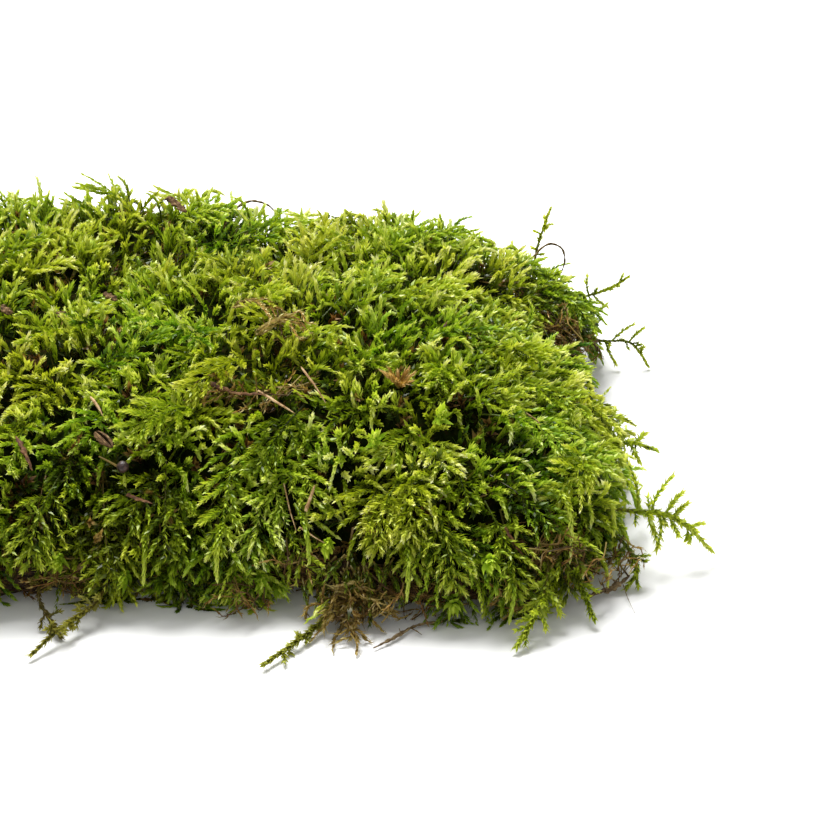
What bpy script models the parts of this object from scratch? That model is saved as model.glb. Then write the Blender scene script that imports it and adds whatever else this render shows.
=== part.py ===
"""A clump of feather moss, lifted off the ground and laid flat.

A mat of living moss lies over a brown layer of dead stems. Leafy shoots trail over its edge, and
twigs, dry grass, bark and dead leaves lie in its top. Lengths below are in millimetres, the floor
is z = 0, +Y points to the back, and the origin is in the middle of the underside.
"""

import math
import random

import bpy
from mathutils import Vector
from mathutils.bvhtree import BVHTree

MM = 0.001  # metres in a millimetre
GAP = 0.3  # between neighbouring pieces
UP = Vector((0, 0, 1))

# The clump as a whole
WIDTH = 236.0
DEPTH = 174.0
CROWN = 40.5  # mean height of the leaf tips in the middle
SHOULDER = 16.0  # height where the side bulges out furthest
SHOULDER_REACH = 13.5  # how far in from the edge the top levels off
FRONT_SLOPE = 3.5  # the front levels off this much later than the sides, and the back sooner

# The outline seen from above, counter-clockwise from the front left
OUTLINE = (
    (-101, -67), (-88, -78), (-62, -83), (-34, -85), (-8, -81), (18, -83), (38, -80), (58, -82),
    (82, -87), (102, -81), (113, -64), (116, -40), (117, -20), (112, 2), (108, 15), (115, 30),
    (118, 50), (106, 65), (84, 72), (60, 76), (38, 75), (14, 85), (-18, 89), (-50, 85), (-82, 82),
    (-106, 63), (-117, 32), (-112, -2), (-117, -32), (-112, -52),
)

# The mat's facets
COLUMNS = 34
ROWS = 25
TUFT = 3.2  # how far a tuft stands above its neighbours
FRINGE = 2.4  # how ragged the edge is
SKIRT_FOOT = 1.6  # the leaves of the skirt end this high above the floor
SKIRT_INSET = 1.6
RECESS_INSET = 6.5

# Broad swells and hollows of the top: x, y, radius, rise
SWELLS = (
    (-78, 22, 30, 4.0), (-40, 46, 26, 4.5), (-52, -30, 24, 2.5), (2, 58, 22, 3.5),
    (-6, -24, 24, 3.0), (36, -44, 20, 2.5), (30, 8, 24, 3.0), (74, -34, 24, 3.0),
    (66, 30, 22, 2.0), (54, -4, 16, 1.5), (-92, -34, 18, 1.5), (16, 66, 16, 4.5),
    (52, 58, 18, 4.5), (-30, 66, 14, 2.5), (84, 50, 12, 2.0), (-62, 66, 24, 2.5), (-10, 78, 20, 2.5),
)
HOLLOWS = (
    (102, 18, 9, 11.0), (112, 60, 20, 7.0), (94, 66, 18, 4.0), (34, 76, 8, 2.0),
    (-18, 8, 13, 3.5), (14, -10, 9, 3.5), (-14, -50, 12, 3.0), (20, 36, 14, 4.0),
    (58, -62, 10, 4.0), (30, -68, 10, 3.5), (-66, 0, 14, 4.0), (-98, 0, 13, 4.0),
    (-26, 70, 10, 2.5), (92, -50, 8, 3.0), (94, -4, 10, 3.0), (-70, -58, 12, 3.0),
)

# The brown layer under the mat, and where the skirt is lifted so that it shows: angle, half width
LITTER_THICKNESS = 9.0
LITTER_INSET = 8.5
LITTER_SHOWN_INSET = 3.0
LITTER_SHOWN = ((-56, 6), (-108, 7), (14, 7), (-144, 6), (118, 8), (196, 8))
LITTER_SIDES = 68

# Leafy shoots. The path starts inside the piece that it grows from, and each branch has its share
# along the path, then its points as steps from there. The radii are of the leafy outline.
SHOOTS = {
    "shoot_right": dict(
        host="moss_mat", bare=0.30, width=1.15,
        path=((108, -60, 14), (113, -61, 14.4), (119.4, -62, 14.2), (124.5, -62, 13.8),
              (128.5, -62, 12.2), (132.6, -62, 8.8), (136.8, -62, 4.2)),
        branches=(
            (0.34, (-0.6, 2, 6), (-3, 4.5, 11.6)), (0.44, (1.2, 1.4, 3.6), (4.6, 3, 7.6)),
            (0.56, (1.6, 1, 2.4), (3.9, 2, 4.6)), (0.64, (1.2, 0.7, 1.4), (3.2, 1.4, 2.9)),
            (0.40, (1.4, -1.8, -3.2), (2.6, -4.4, -6.6)), (0.50, (0.4, -2, -3.6), (-0.6, -4, -7.6)),
            (0.60, (0.8, -1.4, -1.6), (1.8, -3, -3.4)), (0.72, (1.8, -0.9, -0.4), (3.4, -1.8, -1.4)),
            (0.80, (1.7, 0.8, 0.6), (3.2, 1.4, 0.6)),
        ),
    ),
    "shoot_right_low": dict(
        host="moss_mat", bare=0.34, width=0.95,
        path=((108, -66, 12.5), (113.5, -68, 11.5), (117.5, -70, 8), (118.8, -72.5, 4.6),
              (116.4, -75, 1.6)),
        branches=(
            (0.55, (1.6, -0.8, 0.4), (3.2, -1.4, 0.9)), (0.40, (-1, -2, -1), (-2.4, -3.8, -3)),
        ),
    ),
    "shoot_right_high": dict(
        host="moss_mat", bare=0.45, width=1.15,
        path=((111, -33, 15.5), (116, -32.5, 16.6), (121, -31.5, 16.2), (126.4, -30, 13.8)),
        branches=(
            (0.62, (1.2, -0.8, -1.8), (2.4, -1.6, -4.2)), (0.7, (1.4, 1.8, 0.5), (2.8, 3.8, 0.6)),
        ),
    ),
    "shoot_front_right": dict(
        host="moss_mat", bare=0.28, width=1.2,
        path=((97.5, -78, 13.5), (97.4, -85, 12.5), (96.2, -90, 8.6), (93.4, -95, 4.8),
              (90.2, -99.6, 1.9)),
        branches=(
            (0.42, (2, -1, -2.4), (3.4, -2, -5.6)), (0.50, (-2, 0.2, -1.6), (-4.4, -0.4, -3.6)),
            (0.62, (1.2, -1.4, -1.8), (1.6, -2.4, -3.2)),
            (0.70, (-1.6, 0.5, -0.6), (-3.4, 0.8, -1.6)),
        ),
    ),
    "shoot_front_corner": dict(
        host="moss_mat", bare=0.3, width=1.0,
        path=((101.5, -75, 11), (103.5, -81, 9.6), (105.6, -85.5, 6.2), (107.6, -89.5, 2.6)),
        branches=((0.5, (1.8, 0.2, -0.8), (4.2, 0.4, -2.4)),),
    ),
    "shoot_front_centre": dict(
        host="litter_layer", bare=0.22, width=0.85,
        path=((51.5, -76, 5), (50.4, -85, 4.6), (47.4, -91, 2.8), (41.6, -98.5, 1.9),
              (35.6, -106, 1.5)),
        branches=((0.36, (-1.3, 0.6, 1.4), (-2.4, 0.8, 3.2)),),
    ),
    "shoot_front_left": dict(
        host="moss_mat", bare=0.30, width=0.8,
        path=((-1.5, -80, 6.2), (-3, -87, 5.6), (-6, -91, 4.4), (-10.4, -95.6, 3.4),
              (-15.2, -102.4, 1.5)),
        branches=((0.34, (-1.2, 1, 0.8), (-2.8, 1.4, 1.6)),),
    ),
    "stem_front_left": dict(
        host="litter_layer", bare=0.6, width=0.62,
        path=((-17, -78, 6.4), (-16, -86.5, 5.6), (-13, -91, 3), (-10.4, -94.4, 1.0)),
        branches=((0.62, (1.4, 0.4, 0.9), (2.8, 0.2, 1.4)),),
    ),
    "shoot_back_right": dict(
        host="moss_mat", bare=0.55, width=0.62,
        path=((110, 43, 11), (116, 44, 9.6), (121, 44.6, 8.6), (127.2, 45, 8.2), (130.6, 44.6, 5.4),
              (133.2, 44, 1.4)),
        branches=(
            (0.62, (2, 0.6, 2.2), (4, 1, 3.8)), (0.46, (2.8, 1, 2.4), (6, 2, 4.2)),
            (0.40, (1.4, -1, -3.4), (3.4, -1.6, -6.8)),
        ),
    ),
    "shoot_back_right_high": dict(
        host="moss_mat", bare=0.35, width=0.7,
        path=((110, 50, 18), (116, 51, 19.6), (122, 50.6, 22), (127, 50, 25.6)),
        branches=(
            (0.42, (1.6, -0.5, -1.8), (3.8, -1, -3.2)), (0.36, (-0.6, 0.8, 2.4), (-0.6, 1.6, 5)),
        ),
    ),
    "shoot_rear": dict(
        host="moss_mat", bare=0.45, width=0.75,
        path=((101, 57, 25), (102, 58, 31), (103.6, 58.6, 37), (105.4, 59, 42.5)),
        branches=((0.66, (1.4, 0.4, 0.9), (2.8, 0.8, 1)),),
    ),
    "shoot_back": dict(
        host="moss_mat", bare=0.3, width=1.0,
        path=((-50, 79, 13), (-51, 87, 11.6), (-54, 94, 7.6), (-58, 101, 2.2)),
        branches=(
            (0.45, (2, 1, -0.6), (4.6, 3.4, -2.4)), (0.55, (-2, 0.8, 0), (-5, 2.6, -1.2)),
            (0.72, (1.6, 1.2, -0.4), (3.4, 2.8, -1.2)), (0.34, (-1.6, 1.6, 1.6), (-4, 4, 3)),
        ),
    ),
    "shoot_left": dict(
        host="moss_mat", bare=0.26, width=1.1,
        path=((-108, -22, 13), (-115, -24, 13.4), (-121, -26, 12), (-127, -28.5, 8.2),
              (-132, -31, 3.2)),
        branches=(
            (0.36, (-1, 3, 3), (-2.6, 6.4, 5)), (0.46, (-1.6, -2.6, 0.6), (-4, -6.4, -0.6)),
            (0.56, (-2, 2.4, 0.6), (-4.2, 5.4, 0.2)), (0.66, (-1.6, -2, -0.4), (-3.6, -4.6, -1.8)),
            (0.78, (-1.4, 1.6, 0), (-3, 3.4, -0.6)),
        ),
    ),
    "shoot_back_left": dict(
        host="moss_mat", bare=0.34, width=0.85,
        path=((-100, 55, 12.5), (-106, 61, 12), (-112, 67, 8.4), (-117, 71, 2.6)),
        branches=(
            (0.5, (0.6, 2, -0.5), (0.8, 5, -2)), (0.66, (-2, -0.6, 0), (-4.4, -1.4, -1)),
        ),
    ),
}

# Bare twigs: path and radii
TWIGS = {
    "twig_front": dict(
        path=((58.8, -98.8, 0.7), (63.2, -95.0, 0.9), (68, -90, 0.8), (74, -88.4, 1.1)),
        radii=(0.3, 0.62, 0.5, 0.42),
        branches=(
            ((67, -90.8, 0.8), (69.4, -93.4, 0.6), 0.32),
            ((64.6, -93.9, 1), (64.4, -91.6, 1.2), 0.28),
        ),
    ),
    "wood_bit": dict(
        path=((105.8, -79.6, 1.5), (110, -77, 1.7), (114, -74.6, 1.9), (117.4, -71, 2.4)),
        radii=(0.8, 1.25, 1.0, 1.15),
        branches=(
            ((115.4, -73.6, 2.2), (117.4, -84.4, 0.5), 0.2),
            ((114.4, -74.2, 2.2), (110.4, -76.6, 6.4), 0.34),
            ((112, -76, 2.2), (106.4, -82.4, 2.6), 0.3),
        ),
    ),
    "wiry_loop": dict(
        host="moss_mat",
        path=((100, 55, 29), (104.6, 56, 33), (108.6, 56.4, 32), (109.8, 56.4, 28), (108.8, 56, 24.4)),
        radii=(0.32, 0.32, 0.3, 0.28, 0.24), branches=(),
    ),
    "arched_twig": dict(
        host="moss_mat",
        path=((13, 77, 28), (15, 81.6, 33.6), (19.6, 84, 35.4), (24, 85, 34), (27, 85.4, 31)),
        radii=(0.4, 0.42, 0.38, 0.34, 0.26), branches=(),
    ),
}

# Dead stems that hang from the litter to the floor, each from the tuft's root to its end
DEAD_TUFT_ROOT = ((55, -76, 5.2), (54.6, -85.6, 5.0))
DEAD_TUFT_ENDS = (
    (45.4, -95.6, 1.1, 0.55), (50, -99, 1.0, 0.7), (55.2, -100.6, 1.0, 0.6), (60.6, -91.8, 0.9, 0.5),
    (63.4, -89.4, 3.4, 0.5), (57.2, -95.6, 0.8, 0.4), (49.2, -92, 6.6, 0.6), (59, -90.6, 7.0, 0.55),
)

# Dry things that lie in the top of the moss: width, thickness, and a few points along each
BLADES = {
    "grass_front": dict(
        width=0.9, thick=0.4, points=((37, -70, 25), (38.8, -74.6, 20.6), (40.4, -78.4, 17.4))),
    "grass_long": dict(
        width=1.1, thick=0.45, points=((42, -78, 18), (45.6, -82.6, 15.4), (48.6, -86, 13))),
    "grass_red": dict(
        width=0.6, thick=0.35, points=((45.6, -72, 25.4), (43.7, -75.6, 21))),
    "grass_middle": dict(
        width=1.0, thick=0.4, points=((31.8, -52.6, 37.3), (36, -55, 36.2), (40, -57, 35))),
    "grass_rear": dict(
        width=0.8, thick=0.35, points=((41, -46.5, 42.4), (44, -50.6, 41), (47, -54.7, 38.4))),
    "grass_right": dict(
        width=0.9, thick=0.4, points=((92.4, -53.9, 33.8), (94.6, -56, 32.8), (97.4, -57.8, 31.6))),
    "grass_left": dict(
        width=0.7, thick=0.35, points=((-6.6, -52, 36.4), (-4.8, -55, 35.6), (-3, -58.2, 34.6))),
    "leaf_strip_left": dict(
        width=1.7, thick=0.5, points=((-22.6, -64.6, 33.4), (-20.4, -68.2, 31), (-18.6, -71.8, 28))),
    "leaf_strip_front": dict(
        width=1.4, thick=0.45, points=((4, -76, 25.2), (7.4, -76.8, 23.8), (11, -77, 22.8))),
    "leaf_strip_right": dict(
        width=1.6, thick=0.5, points=((88, -82, 21.2), (90, -84.2, 18), (91.8, -85.8, 15))),
    "leaf_strip_rear": dict(
        width=1.5, thick=0.45, points=((20.6, -47, 39.4), (27, -50, 38.6), (33.6, -52, 37.8))),
    "grass_far_left": dict(
        width=1.0, thick=0.4, points=((-74, -34, 41), (-68, -30, 41), (-61, -27.6, 41))),
    "leaf_strip_far_left": dict(
        width=1.6, thick=0.5, points=((-86, 34, 41), (-82, 40, 41), (-80, 46, 41))),
}
FLAKES = {
    "bark_rear": dict(middle=(1, 52, 42.6), length=9.0, width=3.4, turn=-48),
    "bark_left": dict(middle=(-33, -15, 42), length=5.6, width=3.0, turn=-60),
    "bark_middle": dict(middle=(-18.6, -14, 42.4), length=5.0, width=2.4, turn=-70),
    "bark_behind": dict(middle=(-9, -2, 41), length=6.0, width=2.2, turn=-50),
    "husk": dict(middle=(-2.6, -65, 32), length=8.2, width=4.0, turn=-58),
    "bark_far_left": dict(middle=(-58, 12, 41), length=7.0, width=3.2, turn=25),
}
BALLS = {
    "seed": dict(middle=(2.4, -70, 28.9), radius=1.45),
    "bud_red": dict(middle=(46.9, -23, 41.6), radius=1.15),
    "bud_tan": dict(middle=(-2.6, -81.6, 17), radius=1.5),
}
DEAD_FRONDS = {
    "dead_frond_rear": dict(
        points=((22, -13, 41.6), (25.6, -9.4, 42), (30.6, -11.4, 41.4), (34.4, -19, 41.4)), radius=0.55),
    "dead_frond_front": dict(
        points=((30.4, -33, 42), (33, -26, 42), (38, -25, 42), (42.6, -33.4, 43)), radius=0.5),
}
DRY_TUFT = dict(middle=(62, -49, 39), reach=4.6, spikes=6)

STEM_SIDES = 5
BRANCH_SIDES = 4
LEAF_STEP = 2.4  # between the widest and the narrowest rings of a leafy outline


# Places and curves

def smooth_path(points, steps):
    """Points along a Catmull-Rom curve through the given points, its ends included."""
    knots = [Vector(p) for p in points]
    knots = [2 * knots[0] - knots[1]] + knots + [2 * knots[-1] - knots[-2]]
    path = []
    spans = len(knots) - 3
    for k in range(steps + 1):
        along = k / steps * spans
        span = min(int(along), spans - 1)
        t = along - span
        a, b, c, d = knots[span:span + 4]
        path.append(0.5 * (2 * b + (c - a) * t + (2 * a - 5 * b + 4 * c - d) * t ** 2
                           + (3 * b - a - 3 * c + d) * t ** 3))
    return path


def outline_table(steps_per_span=6):
    """The outline as (angle, radius) pairs, from a closed Catmull-Rom curve through its points."""
    count = len(OUTLINE)
    table = []
    for k in range(count):
        a, b, c, d = (Vector(OUTLINE[(k + step) % count]) for step in (-1, 0, 1, 2))
        for step in range(steps_per_span):
            t = step / steps_per_span
            p = 0.5 * (2 * b + (c - a) * t + (2 * a - 5 * b + 4 * c - d) * t ** 2
                       + (3 * b - a - 3 * c + d) * t ** 3)
            table.append((math.atan2(p.y, p.x), p.length))
    table.sort()
    return table


OUTLINE_TABLE = outline_table()


def outline_radius(angle):
    """How far the outline is from the middle in this direction, read between the table's pairs."""
    angle = math.atan2(math.sin(angle), math.cos(angle))
    before = OUTLINE_TABLE[-1][0] - 2 * math.pi, OUTLINE_TABLE[-1][1]
    for after in OUTLINE_TABLE + [(OUTLINE_TABLE[0][0] + 2 * math.pi, OUTLINE_TABLE[0][1])]:
        if after[0] >= angle:
            share = (angle - before[0]) / max(after[0] - before[0], 1e-9)
            return before[1] + share * (after[1] - before[1])
        before = after
    return before[1]


def ease(x):
    """A smooth step from 0 to 1."""
    x = min(max(x, 0.0), 1.0)
    return x * x * (3 - 2 * x)


def litter_shows(angle):
    """How far the skirt is lifted off the litter in this direction, from 0 to 1."""
    most = 0.0
    for middle, half in LITTER_SHOWN:
        away = abs(math.remainder(angle - math.radians(middle), 2 * math.pi))
        most = max(most, ease((2.2 - math.degrees(away) / half) / 1.4))
    return most


def bump(x, y, spot):
    """A bell-shaped rise of 1 in the middle of a spot that is given by its x, y and radius."""
    away = math.hypot(x - spot[0], y - spot[1]) / spot[2]
    return math.exp(-away * away)


def shoulder_reach(y):
    """How far in from the edge the top levels off, on this side of the clump."""
    return SHOULDER_REACH - FRONT_SLOPE * math.tanh(y / 40)


def crown_height(x, y, inside):
    """The height of the leaf tips at a place that is this far in from the edge."""
    height = SHOULDER + (CROWN - SHOULDER) * (1 - math.exp(-inside / shoulder_reach(y)))
    settled = ease(inside / 22)
    for spot in SWELLS:
        height += settled * spot[3] * bump(x, y, spot)
    for spot in HOLLOWS:
        height -= min(spot[3], height - SHOULDER) * bump(x, y, spot)
    height += settled * 1.1 * math.sin(x / 6.3 + 0.9) * math.sin(y / 5.7 + 2.1)
    return height + settled * 1.3 * math.sin(x / 11.9 + y / 15.7) * math.cos(y / 10.3 - x / 21.0)


# Making meshes

def add_object(name, points, faces, colour, roughness=0.7, smooth=True):
    """An object from points in millimetres, with a material of its own."""
    mesh = bpy.data.meshes.new(name)
    mesh.from_pydata([tuple(c * MM for c in p) for p in points], [], faces)
    mesh.update()
    if smooth:
        mesh.shade_smooth()
    material = bpy.data.materials.new(name)
    material.use_nodes = True
    shader = material.node_tree.nodes["Principled BSDF"]
    shader.inputs["Base Color"].default_value = (*colour, 1)
    shader.inputs["Roughness"].default_value = roughness
    shader.inputs["Metallic"].default_value = 0
    mesh.materials.append(material)
    made = bpy.data.objects.new(name, mesh)
    bpy.context.collection.objects.link(made)
    return made


def tube(path, radii, sides=STEM_SIDES, flatness=1.0, up=(0, 0, 1), turn=0.0):
    """Rings of a tapered rod along a path, closed at both ends by a point at its middle.

    flatness squeezes the rod along the direction nearest to up.
    """
    points = []
    faces = []
    rings = len(path)
    for k, (centre, radius) in enumerate(zip(path, radii)):
        ahead = path[min(k + 1, rings - 1)] - path[max(k - 1, 0)]
        ahead.normalize()
        side = ahead.cross(Vector(up))
        if side.length < 0.05:
            side = ahead.cross(Vector((1, 0, 0)))
        side.normalize()
        over = ahead.cross(side)
        for n in range(sides):
            angle = 2 * math.pi * n / sides + turn
            points.append(centre + radius * (math.cos(angle) * side
                                             + flatness * math.sin(angle) * over))
    for k in range(rings - 1):
        for n in range(sides):
            m = (n + 1) % sides
            faces.append((k * sides + n, k * sides + m, (k + 1) * sides + m, (k + 1) * sides + n))
    start = len(points)
    points.append(path[0] - (path[1] - path[0]).normalized() * radii[0] * 0.3)
    points.append(path[-1] + (path[-1] - path[-2]).normalized() * radii[-1] * 0.8)
    for n in range(sides):
        m = (n + 1) % sides
        faces.append((start, m, n))
        last = (rings - 1) * sides
        faces.append((start + 1, last + n, last + m))
    return points, faces


def fuse(name, rods, colour, roughness=0.7):
    """One object from overlapping rods, joined by a Boolean union."""
    body = add_object(name, *rods[0], colour, roughness, smooth=False)
    helpers = bpy.data.collections.new(name + "_branches")
    bpy.context.scene.collection.children.link(helpers)
    for number, rod in enumerate(rods[1:]):
        branch = add_object(f"{name}_branch_{number}", *rod, colour, smooth=False)
        bpy.context.collection.objects.unlink(branch)
        helpers.objects.link(branch)
    if rods[1:]:
        union = body.modifiers.new("branches", "BOOLEAN")
        union.operation = "UNION"
        union.solver = "EXACT"
        union.operand_type = "COLLECTION"
        union.collection = helpers
        union.use_self = True
        apply_modifiers(body)
    for branch in list(helpers.objects):
        bpy.data.objects.remove(branch)
    bpy.data.collections.remove(helpers)
    body.data.shade_smooth()
    return body


def apply_modifiers(body):
    """The object's evaluated mesh becomes its own."""
    graph = bpy.context.evaluated_depsgraph_get()
    baked = bpy.data.meshes.new_from_object(body.evaluated_get(graph))
    body.modifiers.clear()
    body.data = baked


# The mat and the litter under it

def make_mat(rng):
    """The living moss: a tufted top over a bulging side, hollow underneath for the litter.

    The top is a grid of rows and columns stretched to the outline. Its rim goes down to the
    skirt's foot and back up into a flat recess.
    """
    points = []
    index = {}
    for i in range(COLUMNS + 1):
        for j in range(ROWS + 1):
            a = 2 * i / COLUMNS - 1
            b = 2 * j / ROWS - 1
            out = max(abs(a), abs(b))
            angle = math.atan2(b * DEPTH, a * WIDTH)
            on_rim = out > 0.999
            if not on_rim:
                a += rng.uniform(-0.28, 0.28) * 2 / COLUMNS
                b += rng.uniform(-0.28, 0.28) * 2 / ROWS
                out = max(abs(a), abs(b))
                angle = math.atan2(b * DEPTH, a * WIDTH)
            radius = out * outline_radius(angle)
            if on_rim:
                radius += rng.uniform(-FRINGE, FRINGE) * 0.5
            x = radius * math.cos(angle)
            y = radius * math.sin(angle)
            inside = min((1 - abs(a)) * WIDTH, (1 - abs(b)) * DEPTH) / 2
            z = crown_height(x, y, inside)
            outward = math.exp(-inside / shoulder_reach(y))
            if on_rim:
                z += rng.uniform(-2.0, 2.0)
                push = 0.0
            elif (i + 2 * j) % 3 == 0:
                push = rng.uniform(0.4, 1.0) * TUFT
            else:
                push = -rng.uniform(0.0, 0.6) * TUFT
            x += push * outward * math.cos(angle)
            y += push * outward * math.sin(angle)
            z += push * (1 - 0.5 * outward)
            index[i, j] = len(points)
            points.append(Vector((x, y, z)))
    faces = []
    for i in range(COLUMNS):
        for j in range(ROWS):
            a, b, c, d = index[i, j], index[i + 1, j], index[i + 1, j + 1], index[i, j + 1]
            if (points[a] - points[c]).length < (points[b] - points[d]).length:
                faces += [(a, b, c), (a, c, d)]
            else:
                faces += [(a, b, d), (b, c, d)]

    rim = [(i, 0) for i in range(COLUMNS)] + [(COLUMNS, j) for j in range(ROWS)]
    rim += [(i, ROWS) for i in range(COLUMNS, 0, -1)] + [(0, j) for j in range(ROWS, 0, -1)]
    ring = [index[place] for place in rim]
    angles = [math.atan2(points[n].y, points[n].x) for n in ring]
    lifted = [ease(2.4 * litter_shows(angle)) for angle in angles]

    def next_ring(inset, height):
        """A ring under the last one, this far inside the outline."""
        new = []
        for k, angle in enumerate(angles):
            radius = outline_radius(angle) - inset(k)
            new.append(len(points))
            points.append(Vector((radius * math.cos(angle), radius * math.sin(angle), height(k))))
        for k in range(len(new)):
            m = (k + 1) % len(new)
            faces.extend([(ring[k], new[k], new[m]), (ring[k], new[m], ring[m])])
        return new

    ragged = [rng.uniform(0, FRINGE) for _ in ring]
    lift = [rng.uniform(0, 2.4) for _ in ring]
    recess_top = LITTER_THICKNESS + GAP
    waist = [SKIRT_FOOT + 5.5 + 4.6 * lifted[k] for k in range(len(ring))]
    foot = [SKIRT_FOOT + lift[k] * (1 - lifted[k]) + (recess_top + 0.6 - SKIRT_FOOT) * lifted[k]
            for k in range(len(ring))]
    ring = next_ring(lambda k: 0.4 + 0.6 * ragged[k], lambda k: waist[k])
    ring = next_ring(lambda k: SKIRT_INSET + 0.8 * ragged[k] - 1.2, lambda k: foot[k])
    ring = next_ring(lambda k: RECESS_INSET, lambda k: max(foot[k] - 0.1, 1.5))
    ring = next_ring(lambda k: RECESS_INSET + 0.4, lambda k: recess_top + 0.8 * lifted[k])
    faces.append(tuple(reversed(ring)))
    return add_object("moss_mat", points, faces, (0.10, 0.19, 0.02), 0.75, smooth=False)


def make_litter(rng):
    """The brown layer: a ragged slab of dead stems, flat where it rests."""
    points = []
    rings = []
    levels = ((0.0, 1.2), (2.6, 0.2), (5.8, 0.0), (LITTER_THICKNESS, 0.7))
    for height, inset in levels:
        ring = []
        for k in range(LITTER_SIDES):
            angle = 2 * math.pi * k / LITTER_SIDES
            shown = ease(2.5 * litter_shows(angle) - 1.5)
            base = LITTER_INSET + (LITTER_SHOWN_INSET - LITTER_INSET) * shown
            radius = outline_radius(angle) - base - inset - rng.uniform(0, 1.5)
            ring.append(len(points))
            points.append(Vector((radius * math.cos(angle), radius * math.sin(angle), height)))
        rings.append(ring)
    faces = [tuple(reversed(rings[0])), tuple(rings[-1])]
    for low, high in zip(rings, rings[1:]):
        for k in range(LITTER_SIDES):
            m = (k + 1) % LITTER_SIDES
            faces += [(low[k], low[m], high[m]), (low[k], high[m], high[k])]
    return add_object("litter_layer", points, faces, (0.07, 0.045, 0.02), 0.9, smooth=False)


# Shoots and twigs

def leafy_radii(count, bare, width, stem):
    """Radii of a leafy shoot: a bare start, a serrated leafy body and a fine tip."""
    radii = []
    for k in range(count):
        t = k / (count - 1)
        if t < bare:
            radii.append(stem)
            continue
        body = max(math.sin(math.pi * (0.22 + 0.78 * (t - bare) / (1 - bare))), 0) ** 0.6
        teeth = 1.18 if k % 2 else 0.78
        radii.append(max(width * body * teeth, 0.22))
    return radii


def grow_shoot(name, spec):
    """A stem with its side branches, fused. Returns the stem's path and radii."""
    reach = sum((Vector(b) - Vector(a)).length for a, b in zip(spec["path"], spec["path"][1:]))
    path = smooth_path(spec["path"], max(int(reach / LEAF_STEP), 6))
    stem = 0.42 + 0.12 * spec["width"]
    radii = leafy_radii(len(path), spec["bare"], spec["width"] * 0.9, stem)
    rods = [tube(path, radii)]
    for share, *steps in spec["branches"]:
        start = path[round(share * (len(path) - 1))]
        points = [start] + [start + Vector(step) for step in steps]
        length = (points[-1] - points[0]).length
        branch = smooth_path(points, max(int(length / LEAF_STEP), 3))
        rods.append(tube(branch, leafy_radii(len(branch), 0.1, spec["width"] * 0.85, stem * 0.7),
                         sides=BRANCH_SIDES, turn=0.4))
    colour = (0.14, 0.24, 0.03) if spec["width"] > 0.7 else (0.11, 0.12, 0.03)
    fuse(name, rods, colour)
    return path, radii


def grow_twig(name, spec):
    """A bare twig with its spurs. Returns its path and radii."""
    path = smooth_path(spec["path"], 9)
    ends = spec["radii"]
    radii = []
    for k in range(len(path)):
        along = k / (len(path) - 1) * (len(ends) - 1)
        low = min(int(along), len(ends) - 2)
        radii.append(ends[low] + (ends[low + 1] - ends[low]) * (along - low))
    rods = [tube(path, radii)]
    for start, end, radius in spec["branches"]:
        spur = smooth_path((start, end), 3)
        rods.append(tube(spur, [radius, radius, radius * 0.9, radius * 0.6], sides=BRANCH_SIDES,
                         turn=0.4))
    fuse(name, rods, (0.12, 0.07, 0.04))
    return path, radii


def grow_dead_tuft():
    """Dead stems fanned out from one root, reaching the floor. Returns the root's path and radii."""
    root, crown = (Vector(p) for p in DEAD_TUFT_ROOT)
    path = smooth_path((root, crown), 4)
    radii = [1.5, 1.6, 1.7, 1.7, 1.3]
    rods = [tube(path, radii, sides=6)]
    for x, y, z, radius in DEAD_TUFT_ENDS:
        end = Vector((x, y, z))
        middle = (crown + end) / 2 + Vector((0, -0.6, 1.0))
        stem = smooth_path((crown + (root - crown) * 0.12, middle, end), 4)
        shares = (1.1, 1.2, 1.0, 1.25, 0.7)
        rods.append(tube(stem, [radius * share for share in shares], sides=BRANCH_SIDES))
    fuse("dead_tuft_front", rods, (0.16, 0.11, 0.04))
    return path, radii


def cut_sockets(host, roots):
    """Holes in a host for the roots of what grows from it, each as deep as the root goes."""
    cutters = bpy.data.collections.new(host.name + "_sockets")
    bpy.context.scene.collection.children.link(cutters)
    surface = tree_of(host)
    for number, (path, radii) in enumerate(roots):
        buried = 0
        for point in path:
            place, normal, _, _ = surface.find_nearest(point)
            if (point - place).dot(normal) > 0:
                break
            buried += 1
        deepest = path[0] - (path[1] - path[0]).normalized() * GAP
        hole = [deepest] + path[1:buried + 3]
        socket = tube(hole, [1.12 * radius + GAP for radius in radii[:len(hole)]], sides=6)
        cutter = add_object(f"{host.name}_socket_{number}", *socket, (1, 1, 1), smooth=False)
        bpy.context.collection.objects.unlink(cutter)
        cutters.objects.link(cutter)
    cut = host.modifiers.new("sockets", "BOOLEAN")
    cut.operation = "DIFFERENCE"
    cut.solver = "EXACT"
    cut.operand_type = "COLLECTION"
    cut.collection = cutters
    apply_modifiers(host)
    for cutter in list(cutters.objects):
        bpy.data.objects.remove(cutter)
    bpy.data.collections.remove(cutters)


# What lies on the moss

def tree_of(*bodies):
    """A search tree over the faces of several objects, in millimetres."""
    points = []
    faces = []
    for body in bodies:
        start = len(points)
        points += [v.co / MM for v in body.data.vertices]
        faces += [[start + n for n in face.vertices] for face in body.data.polygons]
    return BVHTree.FromPolygons(points, faces)


def seat(make, points, ground):
    """Settles a shape on the moss: snapped to its surface, then raised until it is clear.

    make turns a list of (point, outward direction) pairs into a mesh.
    """
    found = []
    for point in points:
        place, normal, _, _ = ground.find_nearest(Vector(point))
        found.append((place, normal))
    lean = sum((normal + UP for _, normal in found), Vector()).normalized()
    lift = GAP
    while lift < 6:
        mesh = make([(place + lean * lift, lean) for place, _ in found])
        if not BVHTree.FromPolygons(*mesh).overlap(ground):
            return make([(place + lean * (lift + GAP), lean) for place, _ in found])
        lift += 0.2
    raise ValueError("no clear place found")


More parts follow.
